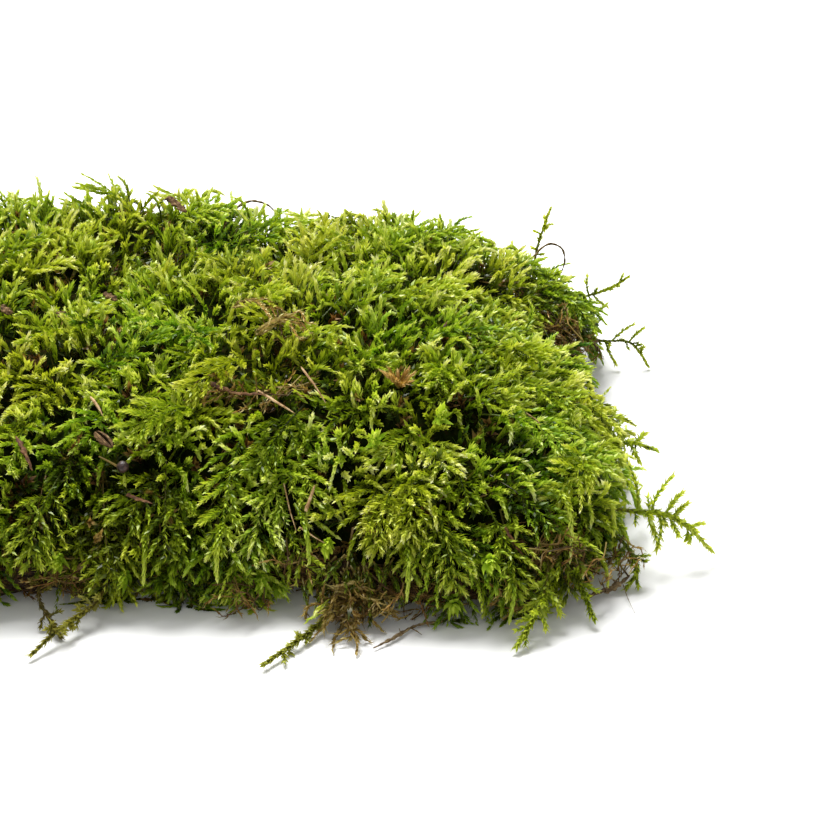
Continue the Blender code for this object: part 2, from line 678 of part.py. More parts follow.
def lay_blade(name, spec, ground, colour):
    """A dry blade or strip: a flat tapered rod that follows the moss."""
    def make(places):
        path = smooth_path([place for place, _ in places], 4)
        width = spec["width"] / 2
        radii = [width * share for share in (0.6, 1.0, 1.05, 0.9, 0.4)]
        return tube(path, radii, flatness=spec["thick"] / spec["width"], up=places[0][1])
    return add_object(name, *seat(make, spec["points"], ground), colour)


def lay_flake(name, spec, ground, rng, colour):
    """A curled flake: an oval dish with a ragged edge, thick at its middle."""
    turn = math.radians(spec["turn"])
    along = Vector((math.cos(turn), math.sin(turn), 0))
    ragged = [rng.uniform(0.82, 1.1) for _ in range(10)]

    def make(places):
        middle, normal = places[0]
        ahead = (along - normal * along.dot(normal)).normalized()
        side = normal.cross(ahead)
        points = [middle + normal * 0.75, middle + normal * 0.1]
        for height in (0.55, 0.05):
            for n, rag in enumerate(ragged):
                angle = 2 * math.pi * n / len(ragged)
                across = math.sin(angle) * spec["width"] / 2 * rag
                points.append(middle + ahead * math.cos(angle) * spec["length"] / 2 * rag
                              + side * across + normal * (height + 0.16 * across * across))
        count = len(ragged)
        faces = []
        for n in range(count):
            m = (n + 1) % count
            faces += [(0, 2 + n, 2 + m), (1, 2 + count + m, 2 + count + n),
                      (2 + n, 2 + count + n, 2 + count + m), (2 + n, 2 + count + m, 2 + m)]
        return points, faces
    return add_object(name, *seat(make, [spec["middle"]], ground), colour, smooth=False)


def lay_ball(name, spec, ground, colour):
    """A small seed or bud: rings of a sphere, slightly longer than wide."""
    def make(places):
        middle, normal = places[0]
        radius = spec["radius"]
        levels = (-0.88, -0.35, 0.35, 0.88)
        path = [middle + normal * radius * (1 + level) for level in levels]
        radii = [radius * math.sqrt(1 - level * level) for level in levels]
        return tube(path, radii, sides=8)
    return add_object(name, *seat(make, [spec["middle"]], ground), colour)


def lay_dead_frond(name, spec, ground, colour):
    """A curled dead frond: a thin arch that lies on the moss."""
    def make(places):
        path = smooth_path([place for place, _ in places], 8)
        radii = [spec["radius"] * (1.15 if k % 2 else 0.8) * (1 - 0.05 * k) for k in range(len(path))]
        return tube(path, radii, sides=BRANCH_SIDES, turn=0.4)
    return add_object(name, *seat(make, spec["points"], ground), colour)


def lay_dry_tuft(ground):
    """A rosette of dead shoots: spikes that rise from one middle."""
    place, normal, _, _ = ground.find_nearest(Vector(DRY_TUFT["middle"]))
    foot = place + normal * (1.6 + GAP)
    rods = [tube([foot - normal * 0.9, foot, foot + normal], [1.0, 1.35, 0.9], sides=5)]
    for k in range(DRY_TUFT["spikes"]):
        angle = 2 * math.pi * k / DRY_TUFT["spikes"] + 0.3
        out = Vector((math.cos(angle), math.sin(angle), 0))
        reach = DRY_TUFT["reach"] * (0.75 + 0.25 * math.cos(3 * angle))
        end = foot + out * reach + normal * (1.6 + 1.2 * math.sin(2.4 * k))
        middle = foot + out * reach * 0.5 + normal * 1.4
        path = smooth_path((foot + out * 0.6 + normal * 0.05 * k, middle, end), 3)
        rods.append(tube(path, [0.4, 0.5, 0.4, 0.2], sides=BRANCH_SIDES, turn=0.25 + 0.15 * k))
    return fuse("dry_tuft", rods, (0.30, 0.15, 0.05))


def main():
    for old in list(bpy.data.objects):
        bpy.data.objects.remove(old)
    rng = random.Random(12)
    hosts = {"moss_mat": make_mat(rng), "litter_layer": make_litter(rng)}

    roots = {name: [] for name in hosts}
    for name, spec in SHOOTS.items():
        roots[spec["host"]].append(grow_shoot(name, spec))
    for name, spec in TWIGS.items():
        root = grow_twig(name, spec)
        if "host" in spec:
            roots[spec["host"]].append(root)
    roots["litter_layer"].append(grow_dead_tuft())
    for name, host in hosts.items():
        cut_sockets(host, roots[name])

    ground = tree_of(hosts["moss_mat"])
    for name, spec in BLADES.items():
        colour = (0.22, 0.09, 0.05) if name.startswith("leaf") else (0.42, 0.30, 0.15)
        lay_blade(name, spec, ground, colour)
    for name, spec in FLAKES.items():
        lay_flake(name, spec, ground, rng, (0.13, 0.07, 0.04))
    for name, spec in BALLS.items():
        lay_ball(name, spec, ground, (0.08, 0.04, 0.04))
    for name, spec in DEAD_FRONDS.items():
        lay_dead_frond(name, spec, ground, (0.14, 0.08, 0.03))
    lay_dry_tuft(ground)


main()
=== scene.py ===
import math

import bpy
import numpy as np
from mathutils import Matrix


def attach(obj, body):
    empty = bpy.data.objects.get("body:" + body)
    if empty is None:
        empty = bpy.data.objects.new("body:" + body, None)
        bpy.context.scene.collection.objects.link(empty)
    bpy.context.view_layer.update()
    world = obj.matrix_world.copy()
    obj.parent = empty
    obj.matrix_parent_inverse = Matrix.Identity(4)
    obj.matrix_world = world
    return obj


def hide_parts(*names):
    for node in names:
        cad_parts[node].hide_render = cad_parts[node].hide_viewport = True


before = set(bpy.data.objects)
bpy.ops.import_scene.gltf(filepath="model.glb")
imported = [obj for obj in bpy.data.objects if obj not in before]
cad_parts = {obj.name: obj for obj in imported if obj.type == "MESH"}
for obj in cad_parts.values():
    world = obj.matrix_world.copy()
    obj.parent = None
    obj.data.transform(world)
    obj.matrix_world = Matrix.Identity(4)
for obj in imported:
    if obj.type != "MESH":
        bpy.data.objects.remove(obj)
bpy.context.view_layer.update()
mm = 0.001
rng = np.random.default_rng(7)
goldenTurn = math.radians(137.5)  # between one leaf and the next round a stem


# colours and nodes

def toLinear(colour):  # "#rrggbb" to linear: c/12.92 below 0.04045, else ((c + 0.055)/1.055)^2.4
    parts = [int(colour[k:k + 2], 16) / 255 for k in (1, 3, 5)]
    return (*(c / 12.92 if c <= 0.04045 else ((c + 0.055) / 1.055) ** 2.4 for c in parts), 1)


def newMaterial(name):
    material = bpy.data.materials.new(name)
    material.use_nodes = True
    material.node_tree.nodes.clear()
    return material, material.node_tree


# sockets: an input's name or number to its value, or to another node's output; stops: places and hex colours
def addNode(tree, kind, sockets=None, stops=None, **settings):
    node = tree.nodes.new(kind)
    for key, value in settings.items():
        setattr(node, key, value)
    for key, value in (sockets or {}).items():
        if isinstance(value, bpy.types.NodeSocket):
            tree.links.new(value, node.inputs[key])
        else:
            node.inputs[key].default_value = value
    if stops:
        marks = node.color_ramp.elements
        while len(marks) < len(stops):
            marks.new(1)
        for mark, (at, colour) in zip(marks, stops):
            mark.position = at
            mark.color = toLinear(colour)
    return node


# arrays of directions and of meshes

def unit(v):  # v divided by its length
    return v / np.maximum(np.linalg.norm(v, axis=-1, keepdims=True), 1e-9)


def joined(parts):  # several (points, corners, uv) as one, the corners counted on
    counts = np.cumsum([0] + [len(part[0]) for part in parts[:-1]])
    return (np.concatenate([part[0] for part in parts]),
            np.concatenate([part[1] + start for part, start in zip(parts, counts)]),
            np.concatenate([part[2] for part in parts]))


# A piece from (points in mm, corners, uv), or from a list of them, riding the root body in place of its solids.
def makePiece(name, parts, material, stands, smooth=True):
    points, corners, uv = joined(parts) if isinstance(parts, list) else parts
    mesh = bpy.data.meshes.new(name)
    mesh.vertices.add(len(points))
    mesh.vertices.foreach_set("co", (points * mm).astype(np.float32).ravel())
    mesh.loops.add(corners.size)
    mesh.loops.foreach_set("vertex_index", corners.astype(np.int32).ravel())
    mesh.polygons.add(len(corners))
    mesh.polygons.foreach_set("loop_start", np.arange(0, corners.size, 3, dtype=np.int32))
    mesh.polygons.foreach_set("use_smooth", np.full(len(corners), smooth))
    layer = mesh.uv_layers.new(name="OFBake")
    layer.uv.foreach_set("vector", uv[corners].astype(np.float32).ravel())
    mesh.update(calc_edges=True)
    mesh.materials.append(material)
    piece = bpy.data.objects.new(name, mesh)
    bpy.context.collection.objects.link(piece)
    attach(piece, "root")
    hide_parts(*stands)
    print(name, len(corners), "triangles")


def aboveFloor(points):  # below 1 mm a height z becomes 0.15 + 0.85 e^((z - 1)/0.85), which stays over the floor
    z = points[:, 2]
    points[:, 2] = np.where(z < 1, 0.15 + 0.85 * np.exp((np.minimum(z, 1) - 1) / 0.85), z)
    return points


# A place at t along each curve and its heading. Three points are a start, a bend and an end, with the place
# (1-t)^2 a + 2t(1-t) b + t^2 c. More points are joined by a Catmull-Rom curve through all of them.
def along(curves, t):
    if curves.shape[1] == 3:
        a, b, c = curves[:, None, 0], curves[:, None, 1], curves[:, None, 2]
        t = t[..., None]
        place = (1 - t) ** 2 * a + 2 * t * (1 - t) * b + t * t * c
        return place, unit((1 - t) * (b - a) + t * (c - b) + 1e-9)
    before, after = 2 * curves[:, :1] - curves[:, 1:2], 2 * curves[:, -1:] - curves[:, -2:-1]
    knots = np.concatenate([before, curves, after], 1)
    spans = curves.shape[1] - 1
    span = np.clip((t * spans).astype(int), 0, spans - 1)
    f = (t * spans - span)[..., None]
    a, b, c, d = (knots[np.arange(len(curves))[:, None], span + k] for k in range(4))
    square, cube = 2 * a - 5 * b + 4 * c - d, 3 * b - a - 3 * c + d
    place = (2 * b + (c - a) * f + square * f ** 2 + cube * f ** 3) / 2
    return place, unit(c - a + 2 * f * square + 3 * f ** 2 * cube + 1e-9)


def throughMiddle(curves):  # curves of three points with their bend at 2 m - (start + end)/2, so that they pass m
    curves[:, 1] = 2 * curves[:, 1] - (curves[:, 0] + curves[:, 2]) / 2
    return curves


def gridFaces(rows, columns):  # two triangles for each square of a grid whose columns run round
    k, n = np.meshgrid(np.arange(rows - 1), np.arange(columns), indexing="ij")
    a, b = (k * columns + n).ravel(), (k * columns + (n + 1) % columns).ravel()
    quads = np.stack([a, a + columns, b + columns, b], -1)
    return np.concatenate([quads[:, [0, 1, 2]], quads[:, [0, 2, 3]]])


# A leaf's points, each (share of its length ahead, half widths across, bend, u added), and its faces: a kite
# folded on its midrib, or a longer blade of four faces that curls.
leafForms = {
    "kite": (((0, 0, 0, -0.13), (0.32, -1, 0.15, -0.03), (0.32, 1, 0.15, -0.03), (1, 0, 1, 0.06)),
             ((0, 2, 3), (0, 3, 1))),
    "blade": (((0, 0, 0, -0.13), (0.24, -1, 0.1, -0.05), (0.24, 1, 0.1, -0.05),
               (0.58, -0.66, 0.38, 0.01), (0.58, 0.66, 0.38, 0.01), (1, 0, 1.1, 0.07)),
              ((0, 2, 1), (1, 2, 4), (1, 4, 3), (3, 4, 5))),
}

# What leaves are like unless their look says otherwise. Every look gives their number on a stem, their length and
# width in mm, and the degrees that they spread from it. closing: how much of the spread is lost toward the tip;
# taper: how much of the size; flat: the pull to both sides; start: the bare share of the stem; curl: the bend, in
# lengths; keel: the fold on the midrib, in half widths; tipTint: the gain of tint to the tip; size: a factor.
commonLeaf = dict(form="blade", closing=0.3, taper=0.3, flat=0.1, start=0.1, curl=0.2, keel=0.4, tipTint=0.3, size=1)


# Leaf k of a stem sits at t = start + (1 - start)(k + 0.5)/n and points cos(s) ahead + sin(s) outward,
# where outward turns 137.5 degrees a leaf, pulled to both sides by flat, and s closes from spread to the tip.
# A point of it is at place + ray x length x share ahead + across x half width x share + face x (curl and keel).
# Its u is its age, 0.13 older at the foot, and its v its hue.
def growLeaves(curves, up, tint, look, hue=0.35):
    look = {**commonLeaf, **look}
    stems, count = len(curves), look["leaves"]
    shares, faces = leafForms[look["form"]]
    t = look["start"] + (1 - look["start"]) * (np.arange(count) + 0.5) / count
    t = np.clip(t + rng.normal(0, 0.25 / count, (stems, count)), 0, 1)
    place, ahead = along(curves, t)
    side = unit(np.cross(ahead, np.reshape(up, (-1, 1, 3))))
    over = np.cross(side, ahead)
    turn = goldenTurn * np.arange(count) + rng.uniform(0, 2 * np.pi, (stems, 1))
    turn = (turn - look["flat"] * np.sin(2 * turn))[..., None]
    out = np.cos(turn) * side + np.sin(turn) * over
    spread = np.radians(look["spread"]) * (1 - look["closing"] * t ** 2) * rng.normal(1, 0.1, t.shape)
    spread = spread[..., None]
    ray = np.cos(spread) * ahead + np.sin(spread) * out
    face = np.sin(spread) * ahead - np.cos(spread) * out
    across = np.cross(ray, face)
    size = np.minimum(1, (t - look["start"] + 0.1) / 0.3) * (1 - look["taper"] * t ** 2.5)
    size = (size * rng.normal(1, 0.13, t.shape) * np.reshape(look["size"], (-1, 1)))[..., None]
    long, wide = look["length"] * size, look["width"] * size / 2
    curl = look["curl"] * rng.normal(1, 0.4, size.shape)
    tone = np.reshape(tint, (-1, 1)) + look["tipTint"] * t ** 1.3 + rng.normal(0, 0.025, t.shape)
    hues = np.clip(np.reshape(hue, (-1, 1)) + rng.normal(0, 0.05, t.shape), 0.02, 0.98)
    corners = [place + ray * long * ahd + across * wide * wd
               + face * (long * curl * bend * bend + wide * look["keel"] * abs(wd)) for ahd, wd, bend, _ in shares]
    points = np.stack(corners, 2).reshape(-1, 3)
    uv = np.stack([np.stack([tone + older, hues + 0.01 * wd], -1) for _, wd, _, older in shares], 2)
    first = np.arange(stems * count)[:, None, None] * len(shares)
    return points, (first + np.array(faces)).reshape(-1, 3), np.clip(uv.reshape(-1, 2), 0.005, 0.995)


# A stem is a thin rod of three sides or more: centre(t) + r(t)(cos a side + sin a over), r from thick to thin.
def growStems(curves, up, tint, thick, thin, spans=3, sides=3):
    t = np.linspace(0, 1, spans + 1)[None].repeat(len(curves), 0)
    place, ahead = along(curves, t)
    side = unit(np.cross(ahead, np.reshape(up, (-1, 1, 3))))
    over = np.cross(side, ahead)
    angle = np.arange(sides) / sides * 2 * np.pi
    radius = (thick + (thin - thick) * t)[..., None, None]
    ring = np.cos(angle)[:, None] * side[:, :, None] + np.sin(angle)[:, None] * over[:, :, None]
    points = (place[:, :, None] + radius * ring).reshape(-1, 3)
    tone = np.clip(np.reshape(tint, (-1, 1, 1)) + 0.012 * np.cos(angle) + 0 * t[..., None], 0.02, 0.98)
    uv = np.stack([tone, np.broadcast_to(0.05 + 0.9 * t[..., None], tone.shape)], -1).reshape(-1, 2)
    stem, k, n = np.meshgrid(np.arange(len(curves)), np.arange(spans), np.arange(sides), indexing="ij")
    low = (stem * (spans + 1) + k) * sides
    a, b = (low + n).ravel(), (low + (n + 1) % sides).ravel()
    quads = np.stack([a, a + sides, b + sides, b], -1)
    return points, np.concatenate([quads[:, [0, 2, 1]], quads[:, [0, 3, 2]]]), uv


# Leaves and their stems, a stem being (tint added to the leaves', foot radius, tip radius, spans, sides).
def growShoots(curves, up, tint, leaf, hue, stem):
    shift, *form = stem
    return [growLeaves(curves, up, tint, leaf, hue), growStems(curves, up, tint + shift, *form)]


# the mat's own surface, read off its solid

matSurface = {
    "smoothing": 6.5,  # mm, how far a place looks round for its slope
    "topBlur": 7.0,  # mm, and for its height
    "rimBlur": 0.05,  # radians, how far a direction looks to both sides for the edge
    "rimPower": 24,
}


def facesOf(name):  # the corner points of a node's triangles, in mm
    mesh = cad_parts[name].data
    points = np.empty(len(mesh.vertices) * 3, np.float32)
    mesh.vertices.foreach_get("co", points)
    mesh.calc_loop_triangles()
    corners = np.empty(len(mesh.loop_triangles) * 3, np.int32)
    mesh.loop_triangles.foreach_get("vertices", corners)
    return points.reshape(-1, 3)[corners.reshape(-1, 3)].astype(float) / mm


# A node's line, from its own points: their means in equal shares along their longest axis. Also its thinnest axis.
def lineOf(name, shares=4):
    points = facesOf(name).reshape(-1, 3)
    middle = points.mean(0)
    axes = np.linalg.svd(points - middle, full_matrices=False)[2]
    reach = (points - middle) @ axes[0]
    edges = np.linspace(reach.min(), reach.max() + 1e-6, shares + 1)
    means = [points[(reach >= a) & (reach < b)].mean(0) for a, b in zip(edges[:-1], edges[1:])]
    ends = [middle + axes[0] * reach.min(), middle + axes[0] * reach.max()]
    ends = [end + (near - middle - axes[0] * ((near - middle) @ axes[0]))
            for end, near in zip(ends, (means[0], means[-1]))]
    up = axes[2] * np.sign(axes[2][2] or 1)
    return np.array([ends[0], *means, ends[1]]), up


matFaces = facesOf("moss_mat")
matCross = np.cross(matFaces[:, 1] - matFaces[:, 0], matFaces[:, 2] - matFaces[:, 0])
matArea = np.linalg.norm(matCross, axis=1) / 2
matNormal = unit(matCross)
matCentre = matFaces.mean(1)
outwards = unit(matCentre * (1, 1, 0))
outside = (matNormal[:, 2] > -0.8) & ((matCentre[:, 2] > 14) | ((matNormal * outwards).sum(1) > 0.15))
matFaces, matArea, matNormal, matCentre = (values[outside] for values in (matFaces, matArea, matNormal, matCentre))
print("mat surface", round(matArea.sum()), "mm2")


def rimRadius(angle):  # how far the mat reaches in a direction: the 24th-power mean of the radii near it
    theirs = np.arctan2(matCentre[:, 1], matCentre[:, 0])
    reach = np.linalg.norm(matCentre[:, :2], axis=1)
    away = np.abs((angle[:, None] - theirs + np.pi) % (2 * np.pi) - np.pi)
    weight = np.exp(-(away / matSurface["rimBlur"]) ** 2)
    power = matSurface["rimPower"]
    return (weight * reach ** power / weight.sum(1, keepdims=True)).sum(1) ** (1 / power)


def rimPlace(angle, inset, height):  # a place on the edge, that far inside it and that high
    reach = rimRadius(angle) - inset
    return np.stack([reach * np.cos(angle), reach * np.sin(angle), np.broadcast_to(height, angle.shape)], -1)


def topHeight(xy):  # the mat's mean height near a place, weighed by e^-(d/7)^2
    upper = matNormal[:, 2] > 0.25
    away = ((xy[:, None] - matCentre[upper, :2]) ** 2).sum(-1)
    weight = np.exp(-away / matSurface["topBlur"] ** 2) * matArea[upper] + 1e-12
    return (weight * matCentre[upper, 2]).sum(1) / weight.sum(1)


# Places spread evenly over the mat: cumulative face area cut into equal shares, one random point in each.
# The normal there is the area-weighted mean of the faces round it, worked out for some hundreds at a time.
def scatter(count, favour, block=800):
    share = np.cumsum(matArea * favour)
    pick = np.searchsorted(share, (np.arange(count) + rng.uniform(0, 1, count)) / count * share[-1])
    pick = np.minimum(pick, len(share) - 1)
    a, b = rng.uniform(0, 1, (2, count, 1))
    a, b = np.where(a + b > 1, 1 - a, a), np.where(a + b > 1, 1 - b, b)
    corner = matFaces[pick]
    place = corner[:, 0] + a * (corner[:, 1] - corner[:, 0]) + b * (corner[:, 2] - corner[:, 0])
    normal = np.empty_like(place)
    for start in range(0, count, block):
        part = slice(start, start + block)
        away = ((place[part, None] - matCentre) ** 2).sum(-1)
        facing = matNormal[pick[part]] @ matNormal.T > -0.1
        normal[part] = unit((np.exp(-away / matSurface["smoothing"] ** 2) * matArea * facing) @ matNormal)
    return place, normal


def waviness(place, size, seed):  # a soft random field of about -1 to 1: the sum of five sine waves of that length
    waves = np.random.default_rng(seed)
    heading = unit(waves.normal(0, 1, (5, 3)))
    return np.sin(place @ heading.T * (2 * np.pi / size) + waves.uniform(0, 6.3, 5)).sum(1) / 2.4


# moss leaves: one cell thick and moist, so they have a soft gloss and let a yellower light through.
# u of the map is the leaf's age, from dead brown to the pale new tip, and v its hue, from olive yellow to fresh green.
mossColours = {
    "olive": [(0.00, "#2e1b0c"), (0.10, "#644421"), (0.20, "#a5854e"), (0.27, "#6d6620"), (0.35, "#252c05"),
              (0.48, "#667510"), (0.62, "#a2b024"), (0.76, "#c9d145"), (0.88, "#e0e370"), (1.00, "#f3f2c0")],
    "fresh": [(0.00, "#2e1b0c"), (0.10, "#5a3c1e"), (0.20, "#957643"), (0.27, "#4f5216"), (0.35, "#12270a"),
              (0.48, "#3a6a10"), (0.62, "#6fa21f"), (0.76, "#a4c93b"), (0.88, "#cbe062"), (1.00, "#ebf3bb")],
}


def leafMaterial(name, olive, fresh, through=0.38, rough=0.36):  # through: the share of light that passes a leaf
    material, tree = newMaterial(name)
    where = addNode(tree, "ShaderNodeUVMap", uv_map="OFBake")
    apart = addNode(tree, "ShaderNodeSeparateXYZ", {"Vector": where.outputs["UV"]})
    olive = addNode(tree, "ShaderNodeValToRGB", {"Fac": apart.outputs["X"]}, stops=olive)
    fresh = addNode(tree, "ShaderNodeValToRGB", {"Fac": apart.outputs["X"]}, stops=fresh)
    tone = addNode(tree, "ShaderNodeMix", data_type="RGBA",
                   sockets={0: apart.outputs["Y"], 6: olive.outputs["Color"], 7: fresh.outputs["Color"]})
    leaf = addNode(tree, "ShaderNodeBsdfPrincipled",
                   {"Base Color": tone.outputs[2], "Roughness": rough, "IOR": 1.4, "Metallic": 0.0})
    lit = addNode(tree, "ShaderNodeMix", data_type="RGBA", blend_type="MULTIPLY",
                  sockets={0: 1.0, 6: tone.outputs[2], 7: (1.0, 0.95, 0.45, 1)})
    light = addNode(tree, "ShaderNodeBsdfTranslucent", {"Color": lit.outputs[2]})
    both = addNode(tree, "ShaderNodeMixShader", {0: through, 1: leaf.outputs[0], 2: light.outputs[0]})
    addNode(tree, "ShaderNodeOutputMaterial", {"Surface": both.outputs[0]})
    return material


mossLeaf = leafMaterial("mossLeaf", mossColours["olive"], mossColours["fresh"])
# dead moss leaves: dry and papery, dark brown at the foot to straw at the tip, more orange for the higher hues
deadMossLeaf = leafMaterial(
    "deadMossLeaf", [(0.0, "#231a0a"), (0.35, "#5c4c1d"), (0.7, "#9f8f49"), (1.0, "#dccf90")],
    [(0.0, "#2a1607"), (0.35, "#704218"), (0.7, "#ad7430"), (1.0, "#d8a766")], 0.25, 0.55)
# yellowing moss leaves: still moist, brown at the foot and dull olive to the tip, greener for the higher hues
agedMossLeaf = leafMaterial(
    "agedMossLeaf", [(0.0, "#2a1c0b"), (0.25, "#5e4a1e"), (0.5, "#85802d"), (0.75, "#b3ae52"), (1.0, "#dedb9a")],
    [(0.0, "#2a1c0b"), (0.25, "#3f4a12"), (0.5, "#6d8420"), (0.75, "#a3b83e"), (1.0, "#dbe39a")], 0.34, 0.45)


# A dry or rotten surface: its colour wanders between hex stops with grains of that size in mm, and with streaks
# along the piece, that many across it, where streaks are given. The same pattern is its bump, of that depth in mm.
def driedMaterial(name, stops, grain, rough, depth, detail=4.0, bump=0.9, streaks=None, gloss=0.5, ior=1.5):
    material, tree = newMaterial(name)
    where = addNode(tree, "ShaderNodeTexCoord")
    grains = addNode(tree, "ShaderNodeTexNoise",
                     {"Vector": where.outputs["Object"], "Scale": 1 / (grain * mm), "Detail": detail})
    pattern = grains.outputs["Fac"]
    if streaks:
        flat = addNode(tree, "ShaderNodeUVMap", uv_map="OFBake")
        stretch = addNode(tree, "ShaderNodeMapping", {"Vector": flat.outputs["UV"], "Scale": (1.5, streaks, 1.0)})
        lines = addNode(tree, "ShaderNodeTexNoise",
                        {"Vector": stretch.outputs["Vector"], "Scale": 3.0, "Detail": 3.0})
        pattern = addNode(tree, "ShaderNodeMix", {0: 0.5, 2: pattern, 3: lines.outputs["Fac"]}).outputs[0]
    tone = addNode(tree, "ShaderNodeValToRGB", {"Fac": pattern}, stops=stops)
    relief = addNode(tree, "ShaderNodeBump", {"Height": pattern, "Strength": bump, "Distance": depth * mm})
    body = addNode(tree, "ShaderNodeBsdfPrincipled",
                   {"Base Color": tone.outputs["Color"], "Roughness": rough, "IOR": ior,
                    "Specular IOR Level": gloss, "Normal": relief.outputs["Normal"]})
    addNode(tree, "ShaderNodeOutputMaterial", {"Surface": body.outputs[0]})
    return material


# packed old stems and shaded leaves, near black as painted shade: dull, dark, mottled every 2 mm
darkThatch = driedMaterial(
    "darkThatch", [(0.35, "#0a0f04"), (0.5, "#141c07"), (0.62, "#20190b"), (0.75, "#2b3610")],
    2.222, 1.0, 1.0, bump=0.8, ior=1.0)
# crumbled brown plant rests, dull and damp, with grains of 1 to 3 mm
leafMould = driedMaterial(
    "leafMould", [(0.32, "#1c1109"), (0.48, "#3d2814"), (0.6, "#5c4022"), (0.74, "#8a6a3e")],
    1.429, 0.86, 1.2, detail=5.0, bump=1.0)
# straw: pale tan, its fibres lengthwise, slightly glossy
dryGrass = driedMaterial(
    "dryGrass", [(0.34, "#5d4022"), (0.46, "#98744a"), (0.56, "#c2a377"), (0.68, "#e8d5ad")],
    1.111, 0.5, 0.2, streaks=14.0, gloss=0.22)
# dead leaf: rust brown with paler dried veins
deadLeaf = driedMaterial(
    "deadLeaf", [(0.32, "#21130a"), (0.46, "#4c2d17"), (0.56, "#755030"), (0.68, "#ad8c60")],
    1.111, 0.7, 0.4, streaks=16.0, gloss=0.22)
# bark flakes: dull red brown to grey, rough
barkFlake = driedMaterial(
    "barkFlake", [(0.32, "#1d140c"), (0.45, "#44311c"), (0.56, "#6c5335"), (0.68, "#a08a63")],
    0.909, 0.85, 0.6, streaks=14.0, gloss=0.15)
# thin twigs: grey brown bark, paler where it is worn
twigBark = driedMaterial(
    "twigBark", [(0.3, "#2a2015"), (0.45, "#57452d"), (0.58, "#83704c"), (0.74, "#bcab85")],
    0.667, 0.65, 0.3, streaks=5.0, gloss=0.22)
# seed coat: dark purple brown, smooth and shiny
seedCoat = driedMaterial(
    "seedCoat", [(0.3, "#120b0a"), (0.48, "#2b1b18"), (0.62, "#4a332c"), (0.78, "#6f5547")],
    1.111, 0.42, 0.3, streaks=3.0, gloss=0.4)
# old moss stems: thin, brown and wiry
deadStem = driedMaterial(
    "deadStem", [(0.3, "#291c0c"), (0.45, "#57421d"), (0.58, "#846838"), (0.74, "#b59b62")],
    0.667, 0.6, 0.2, streaks=4.0, gloss=0.22)
print("materials ready")


# a grown piece: its parts joined and kept above the floor
def makeGrown(name, parts, node, material=mossLeaf, smooth=True):
    points, corners, uv = joined(parts)
    makePiece(name, (aboveFloor(points), corners, uv), material, [node], smooth)


# the way and the tone of the moss from place to place

tufts = {
    "size": 17.0, "rise": 1.6, "lean": 0.8,  # mm across, mm up and down, and how much shoots lean off their tops
    "deepest": 4.5, "shade": 0.035,  # how far under the surface the lowest shoots end, and their loss of tint a mm as painted shade
    "sunny": 0.135,  # painted top light: the gain of tint from a place that faces sideways to one that faces up
    "brown": (  # x, y, z in mm, radius and strength of the places where old brown moss shows
        (104, 24, 22, 10, 0.3), (108, 34, 14, 9, 0.26), (100, 36, 28, 7, 0.2), (97, -80, 17, 7, 0.26),
        (27, -49, 38, 8, 0.29), (38, -50, 40, 7, 0.27), (35, -21, 41, 7, 0.24), (-1, 50, 44, 6, 0.22),
        (41, -76, 18, 5, 0.2), (53, -78, 8, 9, 0.24), (-32, -18, 43, 5, 0.24), (8, -76, 22, 4, 0.2),
        (-84, 38, 32, 9, 0.2), (-62, -50, 36, 6, 0.16), (-30, 70, 28, 8, 0.18), (70, 66, 30, 7, 0.16),
        (-104, -8, 24, 7, 0.18)),
}


def tuftLevel(place):
    return waviness(place, tufts["size"], 21)


def tuftSlope(place):  # the slope of tuftLevel, by its difference over 1 mm along each axis
    here = tuftLevel(place)
    return np.stack([tuftLevel(place + step) - here for step in np.eye(3)], -1) * tufts["size"] / 6


def brownness(place):  # the largest of s e^-(d/r)^2 over the brown places
    spots = np.array(tufts["brown"], float)
    away = ((place[:, None] - spots[:, :3]) ** 2).sum(-1)
    return (spots[:, 4] * np.exp(-away / spots[:, 3] ** 2)).max(1)


# The way that a shoot grows: downhill on the sides, outward a little, off the top of its tuft, and a random way.
def growingWay(place, normal, wander):
    down = np.stack([normal[:, 0] * normal[:, 2], normal[:, 1] * normal[:, 2], normal[:, 2] ** 2 - 1], -1)
    out = unit(place * (1, 1, 0))
    way = 1.5 * down + 0.35 * out - tufts["lean"] * tuftSlope(place) + wander * rng.normal(0, 1, place.shape)
    return unit(way - (way * normal).sum(1, keepdims=True) * normal)


def patchTint(place):  # yellower and darker patches: a broad field, a finer one, painted shade between tufts, brown places
    level = tuftLevel(place)
    # painted shade: 0.045 of the clipped tuft level, darker in the hollows between tufts
    return (0.05 * waviness(place, 70, 3) + 0.04 * waviness(place, 26, 4) + 0.045 * np.clip(level, -1.5, 1.5)
            + rng.normal(0, 0.065, len(place)) - brownness(place))


def patchHue(place):  # fresher green in fields about 45 mm and 15 mm wide
    return np.clip(0.36 + 0.24 * waviness(place, 45, 11) + 0.14 * waviness(place, 15, 12)
                   + rng.normal(0, 0.07, len(place)), 0.03, 0.97)


# Places for one kind of shoot, each a random depth under the mat's tufted surface: their normals, ways, tints and
# hues. There are more of them on the tufts, and fewer in the brown places.
def seedPlaces(count, favour, tint, wander):
    onTufts = np.clip(0.95 + 0.5 * tuftLevel(matCentre), 0.5, 2) * (1 - 1.7 * brownness(matCentre))
    place, normal = scatter(count, favour * onTufts)
    depth = tufts["deepest"] * rng.uniform(0, 1, (count, 1)) ** 1.6
    place = place + (tufts["rise"] * (tuftLevel(place)[:, None] - 0.3) + 0.9 - depth) * normal
    # the tint holds painted shade, lower for deeper shoots, and painted top light, higher where the place faces up
    tint = tint + patchTint(place) - tufts["shade"] * depth[:, 0] + tufts["sunny"] * (normal[:, 2] - 0.5)
    return place, normal, growingWay(place, normal, wander), tint, patchHue(place)


# living fronds: an axis that rises out of the mat and lies over its surface, with side branches on both hands

